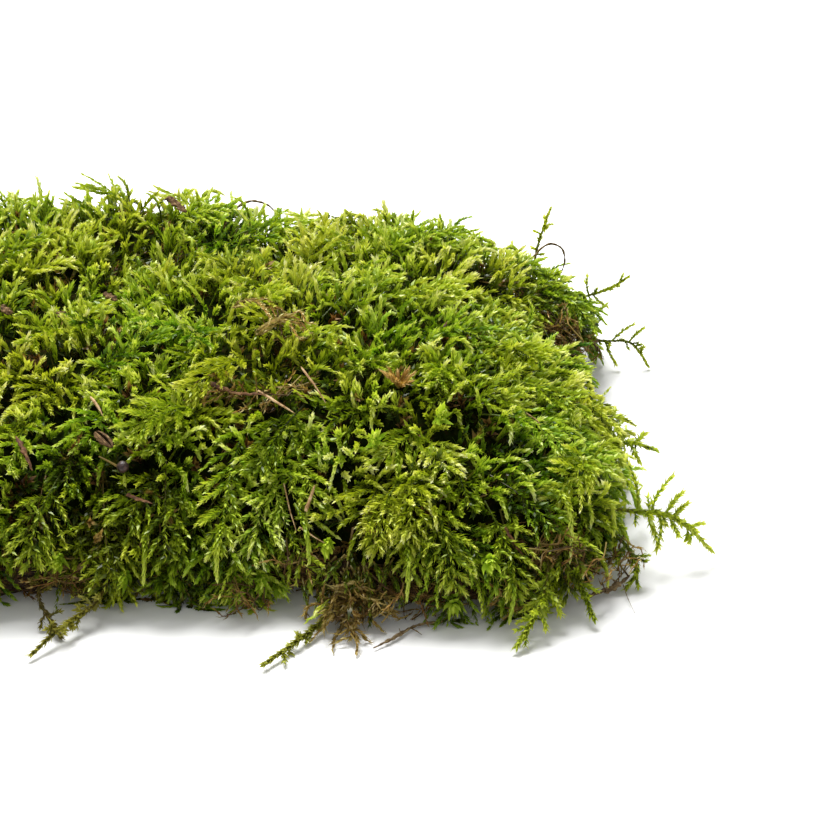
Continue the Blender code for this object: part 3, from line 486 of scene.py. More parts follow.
fronds = {
    "count": 430,
    "length": (15, 26),  # mm
    "branches": 9,
    "branchLength": (6.5, 10.5),
    "root": 7.0,  # mm under the surface
    "favour": (1.4, 0.5), "wander": 0.45,  # how many on the sides and on the top, and how random their ways are
    "tint": 0.515,
    "leaf": dict(leaves=30, length=2.05, width=0.84, spread=36, closing=0.35, taper=0.35, flat=0.35,
                 start=0.0, curl=0.12, keel=0.35, form="kite"),
    "axisLeaf": dict(leaves=36, length=2.2, width=0.78, spread=34, closing=0.35, taper=0.4, flat=0.3,
                     start=0.22, curl=-0.1, keel=0.3, tipTint=0.34, form="kite"),
}


# A branch leaves its axis at t, b degrees aside, with b = 62 - 24 t, and droops a little. Its length grows from
# 0.55 of the full one at the foot to all of it at t = 0.35, then falls by 0.72 ((t - 0.35)/0.65)^1.6 of it.
def frondParts(axis, normal, tint, hue, branchLength, look):
    count = look["branches"]
    t = np.linspace(0.22, 0.95, count)[None] + rng.normal(0, 0.012, (len(axis), count))
    start, run = along(axis, t)
    over = np.broadcast_to(normal[:, None], start.shape)
    side = unit(np.cross(run, over))
    hand = np.where((np.arange(count) + rng.integers(0, 2, (len(axis), 1))) % 2, 1.0, -1.0)[..., None]
    aside = np.radians(62 - 24 * t)[..., None] * rng.normal(1, 0.1, t.shape)[..., None]
    ray = unit(np.cos(aside) * run + np.sin(aside) * hand * side + rng.normal(0.06, 0.16, t.shape)[..., None] * over)
    reach = np.where(t < 0.35, 0.55 + 0.45 * t / 0.35, 1 - 0.72 * (np.maximum(t - 0.35, 0) / 0.65) ** 1.6)
    reach = reach[..., None] * branchLength[:, None, None] * rng.normal(1, 0.12, t.shape)[..., None]
    droop = rng.normal(0.12, 0.16, t.shape)[..., None]
    twigs = np.stack([start, start + 0.55 * reach * ray, start + reach * (ray + 0.25 * run - droop * over)], 2)
    twigTint = (tint[:, None] + 0.06 * (t - 0.5) + rng.normal(0, 0.03, t.shape)).ravel()
    return growShoots(axis, normal, tint, look["axisLeaf"], hue, (-0.1, 0.26, 0.1)) + [
        growLeaves(twigs.reshape(-1, 3, 3), over.reshape(-1, 3), twigTint, look["leaf"], hue.repeat(count))]


# The axis starts at p - D n - 0.5 L g, bends at p + n, and ends at p + 0.5 L g + e n, where g runs along the
# surface and n is its normal. Its size is its length L and its branches' length.
def spreadFronds(place, normal, way, tint, hue, size, look):
    length, end = size[:, :1], rng.normal(0.2, 1.0, (len(place), 1))
    axis = np.stack([place - look["root"] * normal - 0.5 * length * way, place - 0.02 * length * way + 1.0 * normal,
                     place + 0.5 * length * way + end * normal], 1)
    return frondParts(axis, normal, tint, hue, size[:, 1], look)


# fronds that stand out in front, each by the places of its foot, middle and tip, its branches' length and its tint

clearFronds = {
    "places": (
        ((26.5, -62, 31), (25.6, -73, 24.4), (24, -84, 16), 8.6, 0.6),
        ((20, -50, 37.6), (11, -60, 37.6), (4, -65, 34.6), 7.4, 0.57),
        ((29, -32, 41), (23, -44, 41.4), (15, -52, 38), 7.6, 0.56),
        ((42, -52, 38.4), (37, -62, 33.4), (32, -69, 27.6), 8.0, 0.45),
        ((64.5, -70, 29), (61.4, -78, 24), (59, -84, 16.6), 6.6, 0.6),
        ((66.6, -69, 30), (67.4, -78.6, 25.6), (66.6, -84, 17), 6.2, 0.58),
        ((71, -76, 27), (75, -84.4, 20), (77, -88, 9), 7.6, 0.57),
        ((109, -52, 25), (104.6, -65, 26.4), (98, -73, 22.6), 8.4, 0.6),
        ((-12, -70, 29), (-16, -79, 22), (-18, -84, 13), 7.6, 0.52),
        ((-44, -62, 34), (-50, -72, 28), (-54, -79, 19), 8.0, 0.56),
        ((84, -76, 25), (88, -84, 17.4), (90, -88, 8), 7.0, 0.56),
        ((-92, 10, 36), (-102, 14, 29), (-109, 17, 19), 8.0, 0.57),
        ((10, 62, 38), (8, 73, 30), (6, 81, 20), 8.0, 0.55),
        ((-70, 52, 33), (-78, 62, 26), (-84, 68, 17), 7.4, 0.56),
        ((84, 48, 33), (92, 57, 26), (98, 62, 18), 7.4, 0.55)),
    "lift": 1.8, "foot": 4.5,  # mm that they stand off the mat's faces, and that their feet go in
    "blur": 60,  # mm2, over which the mat's normal is averaged
    "leaf": dict(leaves=38, length=2.0, width=0.58, spread=40, closing=0.4, taper=0.45, flat=0.5, start=0.0,
                 curl=0.1, keel=0.35),
    "axisLeaf": dict(leaves=60, length=1.9, width=0.6, spread=38, closing=0.4, taper=0.4, flat=0.4, curl=0.08,
                     keel=0.35, tipTint=0.22),
    "branches": 12,
}


def growClearFronds():
    axis = np.array([spot[:3] for spot in clearFronds["places"]], float)
    away = ((axis[:, 1, None] - matCentre) ** 2).sum(-1)
    normal = unit((np.exp(-away / clearFronds["blur"]) * matArea) @ matNormal)
    axis = axis + clearFronds["lift"] * normal[:, None]
    axis[:, 0] -= clearFronds["foot"] * normal
    axis = throughMiddle(axis)
    branch, tint = (np.array([spot[k] for spot in clearFronds["places"]]) for k in (3, 4))
    parts = frondParts(axis, normal, tint, patchHue(axis[:, 1]) * 0.6, branch, clearFronds)
    makeGrown("mossClearFronds", parts, "moss_mat")


# upright tips: single shoots that stand or lean out of the mat, thick on its top and at its back

tips = {
    "count": 2300,
    "length": (9, 14),
    "favour": (0.6, 1.25), "wander": 1.2,
    "tint": 0.52,
    "leaf": dict(leaves=30, length=2.4, width=0.94, spread=38, closing=0.38, flat=0.12, start=0.3, curl=0.15,
                 keel=0.35, tipTint=0.34, form="kite"),
}


# A tip runs from p - 0.8 L n - 0.2 L g, by p - 0.25 L n - 0.12 L g, to p + h n + up to 0.35 L g.
def raiseTips(place, normal, way, tint, hue, length, look):
    rise = rng.normal(0.8, 1.0, length.shape)
    curves = np.stack([place - 0.8 * length * normal - 0.2 * length * way,
                       place - 0.25 * length * normal - 0.12 * length * way,
                       place + rise * normal + rng.uniform(0.05, 0.35, length.shape) * length * way], 1)
    up = unit(np.cross(way, normal) + 0.3 * normal)
    return growShoots(curves, up, tint, look["leaf"], hue, (-0.08, 0.26, 0.1, 2))


# catkin shoots: thick, with close overlapping leaves, that rise and arch over with their tips hanging

catkins = {
    "count": 1080,
    "length": (11, 17),
    "favour": (1.2, 1.0), "wander": 0.9,
    "tint": 0.55,
    "leaf": dict(leaves=39, length=2.25, width=1.0, spread=33, closing=0.25, taper=0.35, flat=0.0, start=0.2,
                 curl=0.22, tipTint=0.32, form="kite"),
}


# It starts at p - 0.55 L n - 0.15 L g, bends at p + r n + 0.05 L g, and ends at p + up to 0.55 L g - d n.
def archCatkins(place, normal, way, tint, hue, length, look):
    rise, fall = rng.uniform(2.0, 5.0, length.shape), rng.uniform(-1.0, 3.0, length.shape)
    curves = np.stack([place - 0.55 * length * normal - 0.15 * length * way,
                       place + rise * normal + 0.05 * length * way,
                       place + rng.uniform(0.2, 0.55, length.shape) * length * way - fall * normal], 1)
    up = unit(np.cross(way, normal) + 0.2 * normal)
    return growShoots(curves, up, tint, look["leaf"], hue, (-0.08, 0.4, 0.15, 3))


# star shoots: the ends of shoots that face outward, with long narrow leaves spread like a rosette

stars = {
    "count": 430,
    "favour": (1, 1), "wander": 1.0,
    "tint": 0.58,
    "leaf": dict(leaves=22, length=4.0, width=0.9, spread=60, closing=0.7, taper=0.5, flat=0.0, start=0.5,
                 curl=0.24, keel=0.3, tipTint=0.22),
}


# A star's stem runs from p - L r, a little bent, to p + 0.3 r, with r the normal tipped over by its way.
def raiseStars(place, normal, way, tint, hue, length, look):
    ray = unit(normal + 0.45 * way)
    curves = np.stack([place - length * ray, place - 3.2 * ray + 0.5 * way, place + 0.3 * ray], 1)
    up = unit(np.cross(way, ray))
    return [growLeaves(curves, up, tint, look["leaf"], hue), growStems(curves, up, 0.3, 0.25, 0.1, 2)]


# shaded old shoots between the tufts: short, dark green or dead, the dark green painted shade, their ends 3 to 6.5 mm
# under the tips

shaded = {
    "count": 1900,
    "length": 7.0,
    "depth": (3, 6.5),
    # painted shade: the live ones' tint is a dark green
    "deadTint": (0.05, 0.25), "liveTint": (0.36, 0.44),
    "leaf": dict(leaves=14, length=2.9, width=1.2, spread=48, start=0.0, curl=0.1, keel=0.3, tipTint=0.06,
                 form="kite"),
}


def seedShaded():  # dead is a share of 0.25, and more in the brown places
    place, normal = scatter(shaded["count"], 1.0)
    place = place - rng.uniform(*shaded["depth"], (len(place), 1)) * normal
    dead = rng.uniform(0, 1, len(place)) < 0.25 + 2.5 * brownness(place)
    deadTint, liveTint = (rng.uniform(*shaded[key], len(place)) for key in ("deadTint", "liveTint"))
    tint = np.where(dead, deadTint, liveTint)
    return place, normal, growingWay(place, normal, 2.0), tint, patchHue(place)


regionNames = ("mossFrontLeft", "mossFrontMiddle", "mossFrontRight",
               "mossBackLeft", "mossBackMiddle", "mossBackRight")


def regionOf(place):  # 0 to 5: the front half and the back half, each cut in three along its length
    column = np.digitize(place[:, 0], (-42, 38))
    return column + 3 * (place[:, 1] > -26)


# Leaves that would cover the dry things lying on the moss are left out: those nearer to its line, raised by
# 1.4 mm, than its half width and 0.5 mm more. Only leaves within 12 mm of its middle are looked at.
debris = {
    "wide": ("bark_", "husk", "seed", "bud_", "dry_tuft"), "wideHalf": 2.0,
    "narrow": ("grass_", "leaf_strip", "dead_frond"), "narrowHalf": 1.1,
    "margin": 0.5, "lift": 1.4, "reach": 12, "steps": 9,
}


def clearOfDebris(points, corners):
    middle = points[corners].mean(1)
    keep = np.ones(len(corners), bool)
    for node in sorted(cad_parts):
        if node.startswith(debris["wide"] + debris["narrow"]):
            line, up = lineOf(node)
            half = debris["wideHalf"] if node.startswith(debris["wide"]) else debris["narrowHalf"]
            near = ((middle - line.mean(0)) ** 2).sum(1) < debris["reach"] ** 2
            for spot in along(line[None], np.linspace(0, 1, debris["steps"])[None])[0][0] + debris["lift"] * up:
                keep &= ~(near & (((middle - spot) ** 2).sum(1) < (half + debris["margin"]) ** 2))
    return corners[keep]


# The mat: all places and sizes are drawn first, then each region grows its share of every kind.
def growMat():
    side = matNormal[:, 2] < 0.55
    kinds = (fronds, tips, catkins, stars)
    shoots = [seedPlaces(look["count"], np.where(side, *look["favour"]), look["tint"], look["wander"])
              for look in kinds]
    shoots.append(seedShaded())
    sizes = [np.stack([rng.uniform(*fronds[key], fronds["count"]) for key in ("length", "branchLength")], 1),
             *(rng.uniform(*look["length"], (look["count"], 1)) for look in (tips, catkins)),
             np.full((stars["count"], 1), 7.0), np.full((shaded["count"], 1), shaded["length"])]
    makers = (spreadFronds, raiseTips, archCatkins, raiseStars, raiseTips)
    for region, name in enumerate(regionNames):
        parts = []
        for maker, look, shoot, size in zip(makers, (*kinds, shaded), shoots, sizes):
            here = regionOf(shoot[0]) == region
            parts += maker(*(values[here] for values in shoot), size[here], look)
        points, corners, uv = joined(parts)
        corners = clearOfDebris(points, corners)
        makePiece(name, (aboveFloor(points), corners, uv), mossLeaf, ["moss_mat"])


# stray shoots: single leafy shoots that stick out of the mat's edge, back and ends, each bent its own way

strays = {
    "count": 125,
    "length": (8, 15),
    "leaf": dict(leaves=44, length=2.1, width=0.64, spread=40, closing=0.4, taper=0.45, flat=0.2, start=0.12,
                 curl=0.12, keel=0.35),
}


# A stray starts at p - 5 n, bends at p + 0.2 L n and ends at p + 0.35 L n + 0.45 L g, g being any way.
def growStrays():
    rim = np.where((matCentre[:, 2] > 9) & (matNormal[:, 2] < 0.7), 1.0, 0.12)
    rim = rim + 0.9 * (matCentre[:, 1] > 45) + 1.2 * (np.abs(matCentre[:, 0]) > 98)
    place, normal = scatter(strays["count"], rim)
    way = growingWay(place, normal, 1.6)
    length = rng.uniform(*strays["length"], (len(place), 1))
    curves = np.stack([place - 5 * normal, place + 0.2 * length * normal + rng.normal(0, 0.8, place.shape),
                       place + 0.35 * length * normal + 0.45 * length * way], 1)
    up = unit(np.cross(way, normal) + 0.3 * normal)
    tint, hue = 0.52 + patchTint(place), patchHue(place)
    makeGrown("mossStrays", growShoots(curves, up, tint, strays["leaf"], hue, (-0.1, 0.3, 0.12, 4)),
              "moss_mat")


# single shoots that can be told apart in front: rosettes seen on their ends, by place, heading, size, tint and hue,
# and ropes of close leaves, by foot, highest place and tip in mm, with their size, tint and hue

singles = {
    "rosettes": (
        ((33.5, -82.4, 7.4), (0.1, -1, 0.35), 1.3, 0.66, 0.75),
        ((28.8, -83.0, 4.6), (-0.5, -1, 0.05), 1.15, 0.64, 0.7),
        ((37.8, -82.0, 5.2), (0.55, -1, 0.0), 1.1, 0.62, 0.7),
        ((2.6, -83.4, 9.0), (-0.1, -1, 0.3), 1.1, 0.6, 0.6),
        ((48.4, -83.0, 17.2), (0.1, -1, 0.4), 1.05, 0.6, 0.5),
        ((-11.8, -83.2, 13.2), (0, -1, 0.4), 1.1, 0.62, 0.6),
        ((84.4, -89.4, 16.6), (0.1, -1, 0.35), 1.2, 0.64, 0.7),
        ((96.6, -86.6, 4.4), (0.3, -1, 0.1), 1.05, 0.6, 0.5),
        ((58.8, -64.4, 34.6), (0, -0.7, 0.7), 1.2, 0.66, 0.7),
        ((74.0, -59.0, 37.6), (0.1, -0.7, 0.7), 1.15, 0.66, 0.6),
        ((76.4, -89.2, 5.6), (0, -1, 0.2), 1.2, 0.66, 0.7),
        ((102.4, -78.6, 17.0), (0.6, -0.8, 0.3), 1.15, 0.66, 0.4),
        ((-46, -80.5, 12), (-0.2, -1, 0.3), 1.15, 0.62, 0.6),
        ((-88, -60.5, 14), (-0.8, -0.7, 0.3), 1.15, 0.62, 0.5),
        ((-112, 22, 15), (-1, 0.2, 0.3), 1.1, 0.62, 0.6), ((30, 88, 12), (0.2, 1, 0.3), 1.15, 0.62, 0.5),
        ((112, 8, 17), (1, 0, 0.3), 1.1, 0.62, 0.5), ((-34, 80, 20), (-0.2, 1, 0.4), 1.1, 0.62, 0.6)),
    "ropes": (
        ((95.6, -71.4, 24.6), (101.5, -77.4, 25.4), (102.6, -81.4, 13.2), 1.15, 0.64, 0.3),
        ((107, -62, 9), (112.4, -64.4, 12), (114, -66, 4.4), 1.0, 0.56, 0.2),
        ((108, -60, 12), (113.6, -61.6, 11.4), (117.4, -63.4, 7.2), 0.9, 0.52, 0.2),
        ((106, -66, 17), (111.8, -67.6, 19.6), (113.4, -69.4, 12.6), 1.0, 0.58, 0.2),
        ((108, -56, 20), (113.2, -57, 23.4), (116.4, -57.6, 19.4), 1.0, 0.6, 0.3),
        ((110, -46, 18), (115, -46, 21), (117.6, -46.4, 16), 0.95, 0.56, 0.3),
        ((108, -58, 24), (111.8, -58.6, 30), (114.6, -59.4, 31), 0.9, 0.62, 0.3),
        ((104, -72, 9), (109.6, -75.6, 9.8), (111.6, -77.8, 4.2), 0.95, 0.5, 0.15),
        ((109, -50, 10), (114.6, -51.4, 8.4), (118, -53, 3.2), 0.9, 0.5, 0.2),
        ((26, -76, 21), (24.6, -84.6, 20), (24, -86.8, 11), 1.05, 0.6, 0.3),
        ((41, -76, 24), (43.6, -83.2, 22), (44.4, -84.4, 14), 1.0, 0.56, 0.4),
        ((7, -76, 19), (8, -83.4, 18), (7.4, -85.4, 9.6), 1.0, 0.54, 0.3),
        ((65, -76, 19), (66.4, -87.6, 17), (66, -89.2, 7), 1.05, 0.58, 0.4),
        ((88, -80, 12), (89.6, -89.4, 11), (88.8, -91.6, 3.4), 1.0, 0.56, 0.5),
        ((-26, -76, 20), (-27.4, -84.6, 19), (-28.6, -86.6, 9), 1.05, 0.56, 0.3),
        ((-60, -70, 22), (-62.6, -79.6, 21), (-64.4, -81.4, 12), 1.0, 0.56, 0.4),
        ((-84, 56, 22), (-90, 62, 22), (-93, 64, 13), 1.0, 0.56, 0.3),
        ((62, 74, 24), (66, 81, 24), (67, 84, 14), 1.0, 0.56, 0.3),
        ((-14, 78, 20), (-15, 86, 18), (-15.4, 88, 9), 1.0, 0.54, 0.3)),
    "rosette": dict(leaves=28, length=4.0, width=1.1, spread=58, closing=0.75, taper=0.4, flat=0.35,
                    start=0.05, curl=0.3, keel=0.3, tipTint=0.2),
    "rope": dict(leaves=96, length=2.1, width=0.84, spread=36, flat=0.0, start=0.04, tipTint=0.26),
}


# A rosette's stem runs 4.5 mm back from its place, a little bent; its widest leaves are the lowest. A rope bends
# through its middle place.
def growSingles():
    place, ray = (np.array([spot[k] for spot in singles["rosettes"]], float) for k in (0, 1))
    size, tint, hue = np.array([spot[2:] for spot in singles["rosettes"]]).T
    ray = unit(ray)
    back = size[:, None] * ray
    stems = np.stack([place - 4.5 * back + (0, 0, 0.8), place - 2 * back, place + 0.6 * back], 1)
    side = unit(np.cross(ray, (0.2, 0.1, 1.0)))
    parts = growShoots(stems, side, tint, dict(singles["rosette"], size=size), hue, (-0.1, 0.3, 0.15))
    ropes = throughMiddle(np.array([spot[:3] for spot in singles["ropes"]], float))
    size, tint, hue = np.array([spot[3:] for spot in singles["ropes"]]).T
    look = dict(singles["rope"], size=size)
    parts += growShoots(ropes, (0.1, 0.3, 1.0), tint, look, hue, (-0.08, 0.4, 0.15, 8, 5))
    makeGrown("mossSingles", parts, "moss_mat")


growMat()
growClearFronds()
growStrays()
growSingles()

# the skirt: shoots that hang over the edge to the floor, fewer where the litter shows

skirt = {
    "count": 380,
    "share": 0.46,  # of them that grow where no litter shows
    "length": (13, 19), "branchLength": (5, 8.5),
    "height": (7.5, 11.5), "inset": (0.5, 3),
    "shown": ((-56, 6), (-108, 7), (14, 7), (-144, 6), (118, 8), (196, 8)),  # degrees: litter places, half widths
    "leaf": dict(fronds["leaf"], leaves=22),
    "axisLeaf": dict(fronds["axisLeaf"], leaves=30),
    "branches": 7,
    "root": 5.0,
}


def litterShows(angle):  # 1 in the middle of a place where the skirt is lifted, e^-(a/1.5w)^4 round it
    away = np.stack([(angle - np.radians(middle) + np.pi) % (2 * np.pi) - np.pi for middle, _ in skirt["shown"]])
    half = np.radians([[wide * 1.5] for _, wide in skirt["shown"]])
    return np.exp(-(away / half) ** 4).max(0)


def hangSkirt():  # fronds that run down and a little outward from the edge
    count = skirt["count"]
    angle = np.linspace(-np.pi, np.pi, count, endpoint=False) + rng.normal(0, 0.012, count)
    gaps = 0.2 * waviness(rimPlace(angle, 0, 0), 16, 61)
    angle = angle[rng.uniform(0, 1, count) < skirt["share"] + gaps - 0.4 * litterShows(angle)]
    count = len(angle)
    place = rimPlace(angle, rng.uniform(*skirt["inset"], count), rng.uniform(*skirt["height"], count))
    out = unit(place * (1, 1, 0))
    normal = unit(out + rng.normal(0, 0.12, place.shape) + (0, 0, 0.1))
    way = rng.normal(0, 0.38, place.shape) + (0, 0, -1) + 0.25 * out
    way = unit(way - (way * normal).sum(1, keepdims=True) * normal)
    length = rng.uniform(*skirt["length"], count)
    tint = 0.5 + patchTint(place)
    size = np.stack([length, rng.uniform(*skirt["branchLength"], count)], 1)
    makeGrown("mossSkirt", spreadFronds(place, normal, way, tint, patchHue(place), size, skirt),
              "moss_mat")


hangSkirt()

# trailing shoots, each along its own stem: path points in mm, then branches with their share along it and two steps

trailing = {
    "shoot_right": dict(
        bare=0.24, width=1.2, tint=0.65,
        path=((108, -60, 14), (113, -61, 14.4), (119.4, -62, 14.2), (124.5, -62, 13.8), (128.5, -62, 12.2),
              (132.6, -62, 8.8), (136.8, -62, 4.2)),
        branches=((0.34, (-0.6, 2, 6), (-3, 4.5, 11.6)), (0.44, (1.2, 1.4, 3.6), (4.6, 3, 7.6)),
                  (0.56, (1.6, 1, 2.4), (3.9, 2, 4.6)), (0.64, (1.2, 0.7, 1.4), (3.2, 1.4, 2.9)),
                  (0.40, (1.4, -1.8, -3.2), (2.6, -4.4, -6.6)), (0.50, (0.4, -2, -3.6), (-0.6, -4, -7.6)),
                  (0.60, (0.8, -1.4, -1.6), (1.8, -3, -3.4)), (0.72, (1.8, -0.9, -0.4), (3.4, -1.8, -1.4)),
                  (0.80, (1.7, 0.8, 0.6), (3.2, 1.4, 0.6)))),
    "shoot_right_low": dict(
        bare=0.34, width=0.95, tint=0.5,
        path=((108, -66, 12.5), (113.5, -68, 11.5), (117.5, -70, 8), (118.8, -72.5, 4.6), (116.4, -75, 1.6)),
        branches=((0.55, (1.6, -0.8, 0.4), (3.2, -1.4, 0.9)), (0.40, (-1, -2, -1), (-2.4, -3.8, -3)))),
    "shoot_right_high": dict(
        bare=0.45, width=1.15, tint=0.6,
        path=((111, -33, 15.5), (116, -32.5, 16.6), (121, -31.5, 16.2), (126.4, -30, 13.8)),
        branches=((0.62, (1.2, -0.8, -1.8), (2.4, -1.6, -4.2)), (0.7, (1.4, 1.8, 0.5), (2.8, 3.8, 0.6)))),
    "shoot_front_right": dict(
        bare=0.28, width=1.2, tint=0.6,
        path=((97.5, -78, 13.5), (97.4, -85, 12.5), (96.2, -90, 8.6), (93.4, -95, 4.8), (90.2, -99.6, 1.9)),
        branches=((0.42, (2, -1, -2.4), (3.4, -2, -5.6)), (0.50, (-2, 0.2, -1.6), (-4.4, -0.4, -3.6)),
                  (0.62, (1.2, -1.4, -1.8), (1.6, -2.4, -3.2)),
                  (0.70, (-1.6, 0.5, -0.6), (-3.4, 0.8, -1.6)))),
    "shoot_front_corner": dict(
        bare=0.3, width=1.0, tint=0.52,
        path=((101.5, -75, 11), (103.5, -81, 9.6), (105.6, -85.5, 6.2), (107.6, -89.5, 2.6)),
        branches=((0.5, (1.8, 0.2, -0.8), (4.2, 0.4, -2.4)),)),
    "shoot_front_centre": dict(
        bare=0.22, width=1.1, tint=0.6, hue=0.35, leaf=agedMossLeaf,
        path=((51.5, -76, 5), (50.4, -85, 4.6), (47.4, -91, 2.8), (41.6, -98.5, 1.9), (35.6, -106, 1.5)),
        branches=((0.36, (-1.3, 0.6, 1.4), (-2.4, 0.8, 3.2)),)),
    "shoot_front_left": dict(
        bare=0.30, width=1.05, tint=0.5, hue=0.1, leaf=agedMossLeaf,
        path=((-1.5, -80, 6.2), (-3, -87, 5.6), (-6, -91, 4.4), (-10.4, -95.6, 3.4), (-15.2, -102.4, 1.5)),
        branches=((0.34, (-1.2, 1, 0.8), (-2.8, 1.4, 1.6)),)),
    "stem_front_left": dict(
        bare=0.5, width=0.85, tint=0.32, hue=0.05, leaf=agedMossLeaf,
        path=((-17, -78, 6.4), (-16, -86.5, 5.6), (-13, -91, 3), (-10.4, -94.4, 1.0)),
        branches=((0.62, (1.4, 0.4, 0.9), (2.8, 0.2, 1.4)),)),
    "shoot_back_right": dict(
        bare=0.55, width=0.7, tint=0.56, hue=0.08,
        path=((110, 43, 11), (116, 44, 9.6), (121, 44.6, 8.6), (127.2, 45, 8.2), (130.6, 44.6, 5.4),
              (133.2, 44, 1.4)),
        branches=((0.62, (2, 0.6, 2.2), (4, 1, 3.8)), (0.46, (2.8, 1, 2.4), (6, 2, 4.2)),
                  (0.40, (1.4, -1, -3.4), (3.4, -1.6, -6.8)))),
    "shoot_back_right_high": dict(
        bare=0.35, width=0.75, tint=0.6, hue=0.1,
        path=((110, 50, 18), (116, 51, 19.6), (122, 50.6, 22), (127, 50, 25.6)),
        branches=((0.42, (1.6, -0.5, -1.8), (3.8, -1, -3.2)), (0.36, (-0.6, 0.8, 2.4), (-0.6, 1.6, 5)))),
    "shoot_rear": dict(
        bare=0.45, width=0.8, tint=0.66, hue=0.1,
        path=((101, 57, 25), (102, 58, 31), (103.6, 58.6, 37), (105.4, 59, 42.5)),
        branches=((0.66, (1.4, 0.4, 0.9), (2.8, 0.8, 1)),)),
    "shoot_back": dict(
        bare=0.3, width=1.0, tint=0.55,
        path=((-50, 79, 13), (-51, 87, 11.6), (-54, 94, 7.6), (-58, 101, 2.2)),
        branches=((0.45, (2, 1, -0.6), (4.6, 3.4, -2.4)), (0.55, (-2, 0.8, 0), (-5, 2.6, -1.2)),
                  (0.72, (1.6, 1.2, -0.4), (3.4, 2.8, -1.2)), (0.34, (-1.6, 1.6, 1.6), (-4, 4, 3)))),
    "shoot_left": dict(
        bare=0.26, width=1.1, tint=0.55,
        path=((-108, -22, 13), (-115, -24, 13.4), (-121, -26, 12), (-127, -28.5, 8.2), (-132, -31, 3.2)),
        branches=((0.36, (-1, 3, 3), (-2.6, 6.4, 5)), (0.46, (-1.6, -2.6, 0.6), (-4, -6.4, -0.6)),
                  (0.56, (-2, 2.4, 0.6), (-4.2, 5.4, 0.2)), (0.66, (-1.6, -2, -0.4), (-3.6, -4.6, -1.8)),
                  (0.78, (-1.4, 1.6, 0), (-3, 3.4, -0.6)))),
    "shoot_back_left": dict(
        bare=0.34, width=0.85, tint=0.5,
        path=((-100, 55, 12.5), (-106, 61, 12), (-112, 67, 8.4), (-117, 71, 2.6)),
        branches=((0.5, (0.6, 2, -0.5), (0.8, 5, -2)), (0.66, (-2, -0.6, 0), (-4.4, -1.4, -1)))),
}

trailingLeaf = dict(leaves=60, length=1.85, width=0.74, spread=52, taper=0.12, flat=0.25, start=0.3, curl=0.1,
                    keel=0.5, tipTint=0.16)
trailingGaps = {"leaf": 0.17, "footLeaf": 0.25, "twig": 2.0}  # mm from one to the next
shortTwigs = {"between": (0.05, 0.84), "length": (1.6, 3.4), "tint": (-0.1, 0.06), "leaves": 13, "leafLength": 1.6}


def camel(node):
    first, *rest = node.split("_")
    return first + "".join(word.capitalize() for word in rest)


# A branch leaves the stem at its share, by the first step, to the second. Short leafy twigs fill in between, from
# 0.05 to 0.84 along it, half ahead and half any way but up. Leaves start at the bare share, older ones at the foot.
def growTrailing(node, spec):
    path = np.array([spec["path"]], float)
    reach = np.linalg.norm(np.diff(path[0], axis=0), axis=1).sum()
    up = (0.15, 0.1, 1.0)
    size = 0.5 + 0.5 * spec["width"]
    look = dict(trailingLeaf, length=trailingLeaf["length"] * size, width=trailingLeaf["width"] * size)
    share = np.array([branch[0] for branch in spec["branches"]])[None]
    steps = np.array([branch[1:] for branch in spec["branches"]], float)
    start = along(path, share)[0][0]
    twigs = throughMiddle(np.stack([start, start + steps[:, 0], start + steps[:, 1]], 1))
    count = int(reach / trailingGaps["twig"])
    foot, ahead = along(path, np.linspace(*shortTwigs["between"], count)[None])
    step = unit(0.7 * ahead[0] + unit(rng.normal(0, 1, (count, 3)) * (0.7, 1, 1) + (0, 0, -0.3)))
    step = step * rng.uniform(*shortTwigs["length"], (count, 1)) * size
    shorts = np.stack([foot[0], foot[0] + 0.5 * step + rng.normal(0, 0.25, step.shape), foot[0] + step], 1)
    tint, hue = spec["tint"], spec.get("hue", 0.18)
    length = np.linalg.norm(steps[:, 1], axis=1)
    twigLook = dict(look, start=0.0, leaves=int(length.mean() / trailingGaps["leaf"]),
                    size=np.clip(length / 5, 0.75, 1.05))
    shortTint = rng.uniform(*shortTwigs["tint"], count) + tint
    mainLook = dict(look, start=spec["bare"], leaves=int((1 - spec["bare"]) * reach / trailingGaps["leaf"]))
    footLook = dict(look, start=0.02, leaves=int(reach / trailingGaps["footLeaf"]), spread=36, taper=0.0)
    parts = [growLeaves(path, up, tint, mainLook, hue), growLeaves(path, up, tint - 0.12, footLook, hue),
             growStems(path, up, 0.27, 0.42 * size, 0.16, 18, 6)]
    parts += growShoots(twigs, up, tint + 0.03, twigLook, hue, (-0.06, 0.36 * size, 0.14, 5, 5))
    shortLook = dict(look, start=0.0, leaves=shortTwigs["leaves"], length=shortTwigs["leafLength"] * size)
    parts += growShoots(shorts, up, shortTint, shortLook, hue, (-0.1, 0.28 * size, 0.12, 3, 4))
    makeGrown(camel(node), parts, node, spec.get("leaf", mossLeaf))


for node, spec in trailing.items():
    growTrailing(node, spec)


# A way along the edge, one hand or the other, with outward and upward parts, each a mean and a deviation.
def edgeWay(out, outward, upward):
    around = np.stack([-out[:, 1], out[:, 0], out[:, 2]], -1)
    return unit(around * rng.normal(0, 1, (len(out), 1)) + out * rng.normal(*outward, (len(out), 1))
                + (0, 0, 1) * rng.normal(*upward, (len(out), 1)))


# the dark inside of the mat, packed old stems whose near-black colour is painted shade: a dome some mm under
# the leaf tips, with r = b (R(a) - inset) and z = low + (top(x, y) - under - low)(1 - b^9)^0.6, roughened by a few mm

thatch = {"under": 6.2, "inset": 4.8, "low": 8.2, "rough": 1.1, "turns": 132, "rings": 28}


